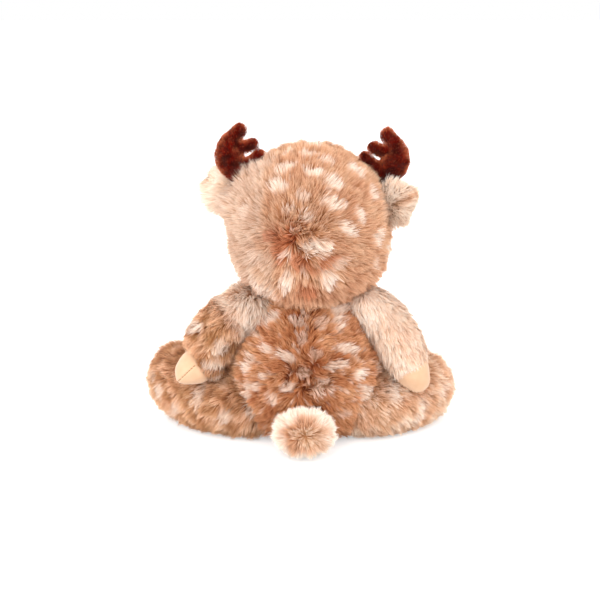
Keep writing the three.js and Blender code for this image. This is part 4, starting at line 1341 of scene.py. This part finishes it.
# Hooves: suede caps with a sewn seam from the cuff to the tip
hoofLook = {
    "voxel": 0.8, "smoothing": 90, "seamDepth": 0.5, "seamWidth": 0.7, "ridge": 0.45, "ridgeWidth": 4.5,
    "point": 1.2, "pointRange": (0.45, 1.0),
    "seamTurns": {"arm_left": 0, "arm_right": 75, "leg_left": 90, "leg_right": 90},
}
stitchLook = {
    "every": 2.9, "length": 2.0, "radius": 0.36, "sides": 8, "above": 0.1, "slant": 0.25,
    "from": -0.2, "to": 1.35,
    "profile": [(0.25, -1), (0.8, -0.8), (1, -0.35), (1, 0.35), (0.8, 0.8), (0.25, 1)],
}


def makeHoof(name, seamTurn):
    hoof = skinOf(f"{name}_cap", [f"{name}_hoof"], hoofLook["voxel"], hoofLook["smoothing"], hull=True)
    points, normals, _ = arraysOf(hoof.data)
    # Smoothing shrinks the cap, so it is stretched back to the box of its node.
    low, high = (np.array(corner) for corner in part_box(f"{name}_hoof"))
    first, last = points.min(axis=0), points.max(axis=0)
    points = (low + high) / 2 + (points - (first + last) / 2) * (high - low) / (last - first)
    cuff = np.array(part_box(f"{name}_sleeve")).mean(axis=0)
    middle = points.mean(axis=0)
    spread = points - middle
    course = unit(middle - cuff)
    facing = np.array(viewDirection(photoView["azimuth"], photoView["elevation"]))
    across = unit(np.cross(course, facing))
    turn = math.radians(seamTurn)
    across = across * math.cos(turn) + np.cross(course, across) * math.sin(turn)
    off = spread @ across / mm
    ridge = np.exp(-(off / hoofLook["ridgeWidth"]) ** 2)
    seam = np.exp(-(off / hoofLook["seamWidth"]) ** 2)
    reach = spread @ course
    end = smoothStep(*hoofLook["pointRange"], reach / reach.max())
    lift = hoofLook["ridge"] * ridge - hoofLook["seamDepth"] * seam
    points = points + normals * lift[:, None] * mm + course * (hoofLook["point"] * end * ridge)[:, None] * mm
    hoof.data.vertices.foreach_set("co", points.ravel())
    hoof.data.update()
    hoof.data.materials.clear()
    hoof.data.materials.append(suede)
    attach(hoof, name)
    addStitches(hoof, name, middle, course, across)
    return hoof


def addStitches(hoof, name, middle, course, across):
    tree = treeOfMesh(hoof.data)
    outward = np.cross(course, across)
    half, radius = stitchLook["length"] / 2 * mm, stitchLook["radius"] * mm
    profile = [(radius * wide, half * share) for wide, share in stitchLook["profile"]]
    bm = bmesh.new()
    for sideWay in (1, -1):
        angle = stitchLook["from"]
        while angle < stitchLook["to"]:
            ray = course * math.sin(angle) + outward * sideWay * math.cos(angle)
            hit, normal, _, distance = tree.ray_cast(Vector(middle), Vector(ray))
            if hit is None:
                break
            tangent = unit(np.cross(np.array(normal), across))
            turn = Vector(unit(tangent + stitchLook["slant"] * across)).to_track_quat("Z", "Y")
            addTurned(bm, profile, hit + normal * stitchLook["above"] * mm, turn, stitchLook["sides"])
            angle += stitchLook["every"] * mm / distance
    stitches = meshFrom(bm, f"{name}_stitches")
    stitches.data.materials.append(thread)
    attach(stitches, name)


hooves = {name: makeHoof(name, turn) for name, turn in hoofLook["seamTurns"].items()}

# Eyes: a glossy dome on a shank
eyeShape = {"dome": 4.6, "shank": 1.9, "rim": 0.9, "rings": 12, "sides": 40}


def makeEye(side):
    way = unit(eyePlaces[side] - headCentre)
    points, _, _ = arraysOf(nodes[f"eye_{side}"].data)
    reach = (points - headCentre) @ way
    radius = np.linalg.norm(points - headCentre - reach[:, None] * way, axis=1).max()
    shank = eyeShape["shank"] * mm
    rim, top = reach.max() - eyeShape["dome"] * mm, reach.max()
    back = rim - eyeShape["rim"] * mm
    profile = [(shank, reach.min()), (shank, back), (radius, back)]
    for step in range(eyeShape["rings"]):
        angle = step * math.pi / 2 / eyeShape["rings"]
        profile.append((radius * math.cos(angle), rim + (top - rim) * math.sin(angle)))
    bm = bmesh.new()
    addTurned(bm, profile, headCentre, Vector(way).to_track_quat("Z", "Y"), eyeShape["sides"]).smooth = True
    eye = meshFrom(bm, f"eye_{side}_dome")
    eye.data.materials.append(eyeGloss)
    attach(eye, "head")
    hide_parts(f"eye_{side}")


for side in ("left", "right"):
    makeEye(side)

# Mouth, sewn in thread on the muzzle: a short line under the nose and a curve to each side, in mm
mouthLook = {
    "thread": 0.45, "roundness": 3, "below": 4, "depth": 3.5, "lineFrom": 3, "lineTo": 7, "lineSteps": 4,
    "wide": 9, "sag": 3.2, "lift": 1.5, "curveSteps": 6, "ahead": 40,
}


def mouthRows():
    steps = mouthLook["lineSteps"]
    fall = mouthLook["lineTo"] - mouthLook["lineFrom"]
    rows = [[(0, mouthLook["lineFrom"] + fall * t / steps) for t in range(steps + 1)]]
    steps = mouthLook["curveSteps"]
    for sideWay in (1, -1):
        row = []
        for t in range(steps + 1):
            sag = mouthLook["sag"] * math.sin(math.pi * t / steps) - mouthLook["lift"] * t / steps
            row.append((sideWay * mouthLook["wide"] * t / steps, mouthLook["lineTo"] + sag))
        rows.append(row)
    return rows


def makeMouth():
    tree = treeOfMesh(muzzleSkin.data)
    curve = bpy.data.curves.new("mouth_thread", "CURVE")
    curve.dimensions = "3D"
    curve.bevel_depth = mouthLook["thread"] * mm
    curve.bevel_resolution = mouthLook["roundness"]
    ahead = mouthLook["ahead"] * mm
    for row in mouthRows():
        places = []
        for x, drop in row:
            below = (drop + mouthLook["below"]) * mm
            start = Vector((noseTip[0] + x * mm, noseTip[1] - ahead, noseTip[2] - below))
            hit = tree.ray_cast(start, Vector((0, 1, 0)))[0]
            if hit is not None:
                places.append(hit + Vector((0, -mouthLook["depth"] * mm, 0)))
        spline = curve.splines.new("POLY")
        spline.points.add(len(places) - 1)
        for point, place in zip(spline.points, places):
            point.co = (*place, 1)
    mouth = bpy.data.objects.new("mouth_thread", curve)
    scene.collection.objects.link(mouth)
    curve.materials.append(darkThread)
    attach(mouth, "head")


makeMouth()


def bodyOf(nodeName):
    if nodeName.startswith(("torso", "seat")):
        return "torso"
    return next((body for body in pivots if nodeName.startswith(body)), "head")


# How full each soft piece is
fills = {
    "head": 0.85, "torso": 0.75, "limb": 0.7, "tail": 0.6, "ear": 0.3, "muzzle": 0.8, "nose": 0.8,
    "antler": 0.6, "hoof": 0.9, "pellets": 0.9, "fibre": 1.0,
}


# Each skin stands for its CAD panels and rides on their body
def dress(skin, body, material, slotName, fill, *replaced):
    skin.data.materials.clear()
    skin.data.materials.append(material)
    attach(skin, body)
    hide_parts(*replaced)


dress(headSkin, "head", shadedFurGround, "spotted_fur", fills["head"], "head_back_panel", "head_face_panel")
dress(torsoSkin, "torso", shadedFurGround, "spotted_fur", fills["torso"],
      "torso_back_panel", "torso_belly_panel")
for name, skin in limbSkins.items():
    dress(skin, name, shadedFurGround, "spotted_fur", fills["limb"], f"{name}_sleeve")
dress(tailSkin, "tail", shadedFurGround, "spotted_fur", fills["tail"], "tail_skin")
for side, skin in earSkins.items():
    panels = f"ear_back_{side}", f"ear_lining_{side}"
    dress(skin, f"ear_{side}", shadedFurGround, "spotted_fur", fills["ear"], *panels)
dress(muzzleSkin, "head", shadedFurGround, "cream_fur", fills["muzzle"], "muzzle_skin")
dress(noseSkin, "head", velvetBacking, "brown_velvet", fills["nose"], "nose")
for side, skin in antlerSkins.items():
    panels = f"antler_back_{side}", f"antler_front_{side}"
    dress(skin, f"antler_{side}", velvetBacking, "brown_velvet", fills["antler"], *panels)
fillingLook = {"voxel": 2.0, "smoothing": 6, "inset": 1.3, "floorGap": 1.2}
for nodeName in [n for n in nodes if n.endswith("stuffing") or n == "seat_pellet_bag"]:
    inner = skinOf(f"{nodeName}_fill", [nodeName], fillingLook["voxel"], fillingLook["smoothing"])
    moveIn(inner, fillingLook["inset"], fillingLook["floorGap"])
    body = bodyOf(nodeName)
    if nodeName == "seat_pellet_bag":
        dress(inner, body, pelletCloth, "pellet_cotton", fills["pellets"], nodeName)
    else:
        dress(inner, body, filling, "fibre", fills["fibre"], nodeName)
for name, hoof in hooves.items():
    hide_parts(f"{name}_hoof")
print("pieces dressed")

# Floor, light and world. A lamp has its azimuth, elevation, distance and size in metres, and power in watts.
studio = {
    "world": 1.2, "behind": 1.0, "warmth": (1, 0.97, 0.94, 1), "white": (1, 1, 1, 1),
    "floorReach": 6.0, "floorTone": (0.8, 0.8, 0.8, 1), "floorRoughness": 0.9, "floorSpecular": 0.1,
    "floorGlow": 0.5,
    "lamps": {
        "keyLamp": (165, 29, 1.4, 0.9, 7.6),
        "fillLamp": (225, 24, 1.6, 1.2, 7.0),
        "frontLamp": (20, 30, 1.6, 1.2, 13.5),
        "sideLamp": (112, 15, 1.6, 1.2, 5.5),
    },
}


def makeFloor():
    mesh = bpy.data.meshes.new("studioFloor")
    reach = studio["floorReach"]
    corners = [(-reach, -reach, 0), (reach, -reach, 0), (reach, reach, 0), (-reach, reach, 0)]
    mesh.from_pydata(corners, [], [(0, 1, 2, 3)])
    floor = meshObject("studioFloor", mesh)
    material, tree, shader = newMaterial("paleFloor")
    shader.inputs["Base Color"].default_value = studio["floorTone"]
    shader.inputs["Roughness"].default_value = studio["floorRoughness"]
    shader.inputs["Specular IOR Level"].default_value = studio["floorSpecular"]
    shader.inputs["Emission Color"].default_value = studio["white"]
    path = tree.nodes.new("ShaderNodeLightPath")
    glow = tree.nodes.new("ShaderNodeMath")
    glow.operation = "MULTIPLY"
    glow.inputs[1].default_value = studio["floorGlow"]
    tree.links.new(path.outputs["Is Camera Ray"], glow.inputs[0])
    tree.links.new(glow.outputs[0], shader.inputs["Emission Strength"])
    mesh.materials.append(material)


def makeWorld():
    world = bpy.data.worlds.new("studio")
    world.use_nodes = True
    scene.world = world
    tree = world.node_tree
    background = tree.nodes["Background"]
    seen = tree.nodes.new("ShaderNodeLightPath").outputs["Is Camera Ray"]
    colour = mixColour(tree, seen, studio["warmth"], studio["white"])
    tree.links.new(colour, background.inputs["Color"])
    strength = tree.nodes.new("ShaderNodeMapRange")
    strength.inputs["To Min"].default_value = studio["world"]
    strength.inputs["To Max"].default_value = studio["behind"]
    tree.links.new(seen, strength.inputs["Value"])
    tree.links.new(strength.outputs[0], background.inputs["Strength"])


def addLamp(name, azimuth, elevation, distance, size, power):
    data = bpy.data.lights.new(name, "AREA")
    data.shape = "DISK"
    data.size = size
    data.energy = power
    data.color = studio["warmth"][:3]
    lamp = bpy.data.objects.new(name, data)
    scene.collection.objects.link(lamp)
    away = viewDirection(azimuth, elevation)
    lamp.location = Vector(photoView["aim"]) + away * distance
    lamp.rotation_euler = (-away).to_track_quat("-Z", "Y").to_euler()


makeFloor()
makeWorld()
for name, values in studio["lamps"].items():
    addLamp(name, *values)
scene.view_settings.view_transform = "Standard"

print("stage set")
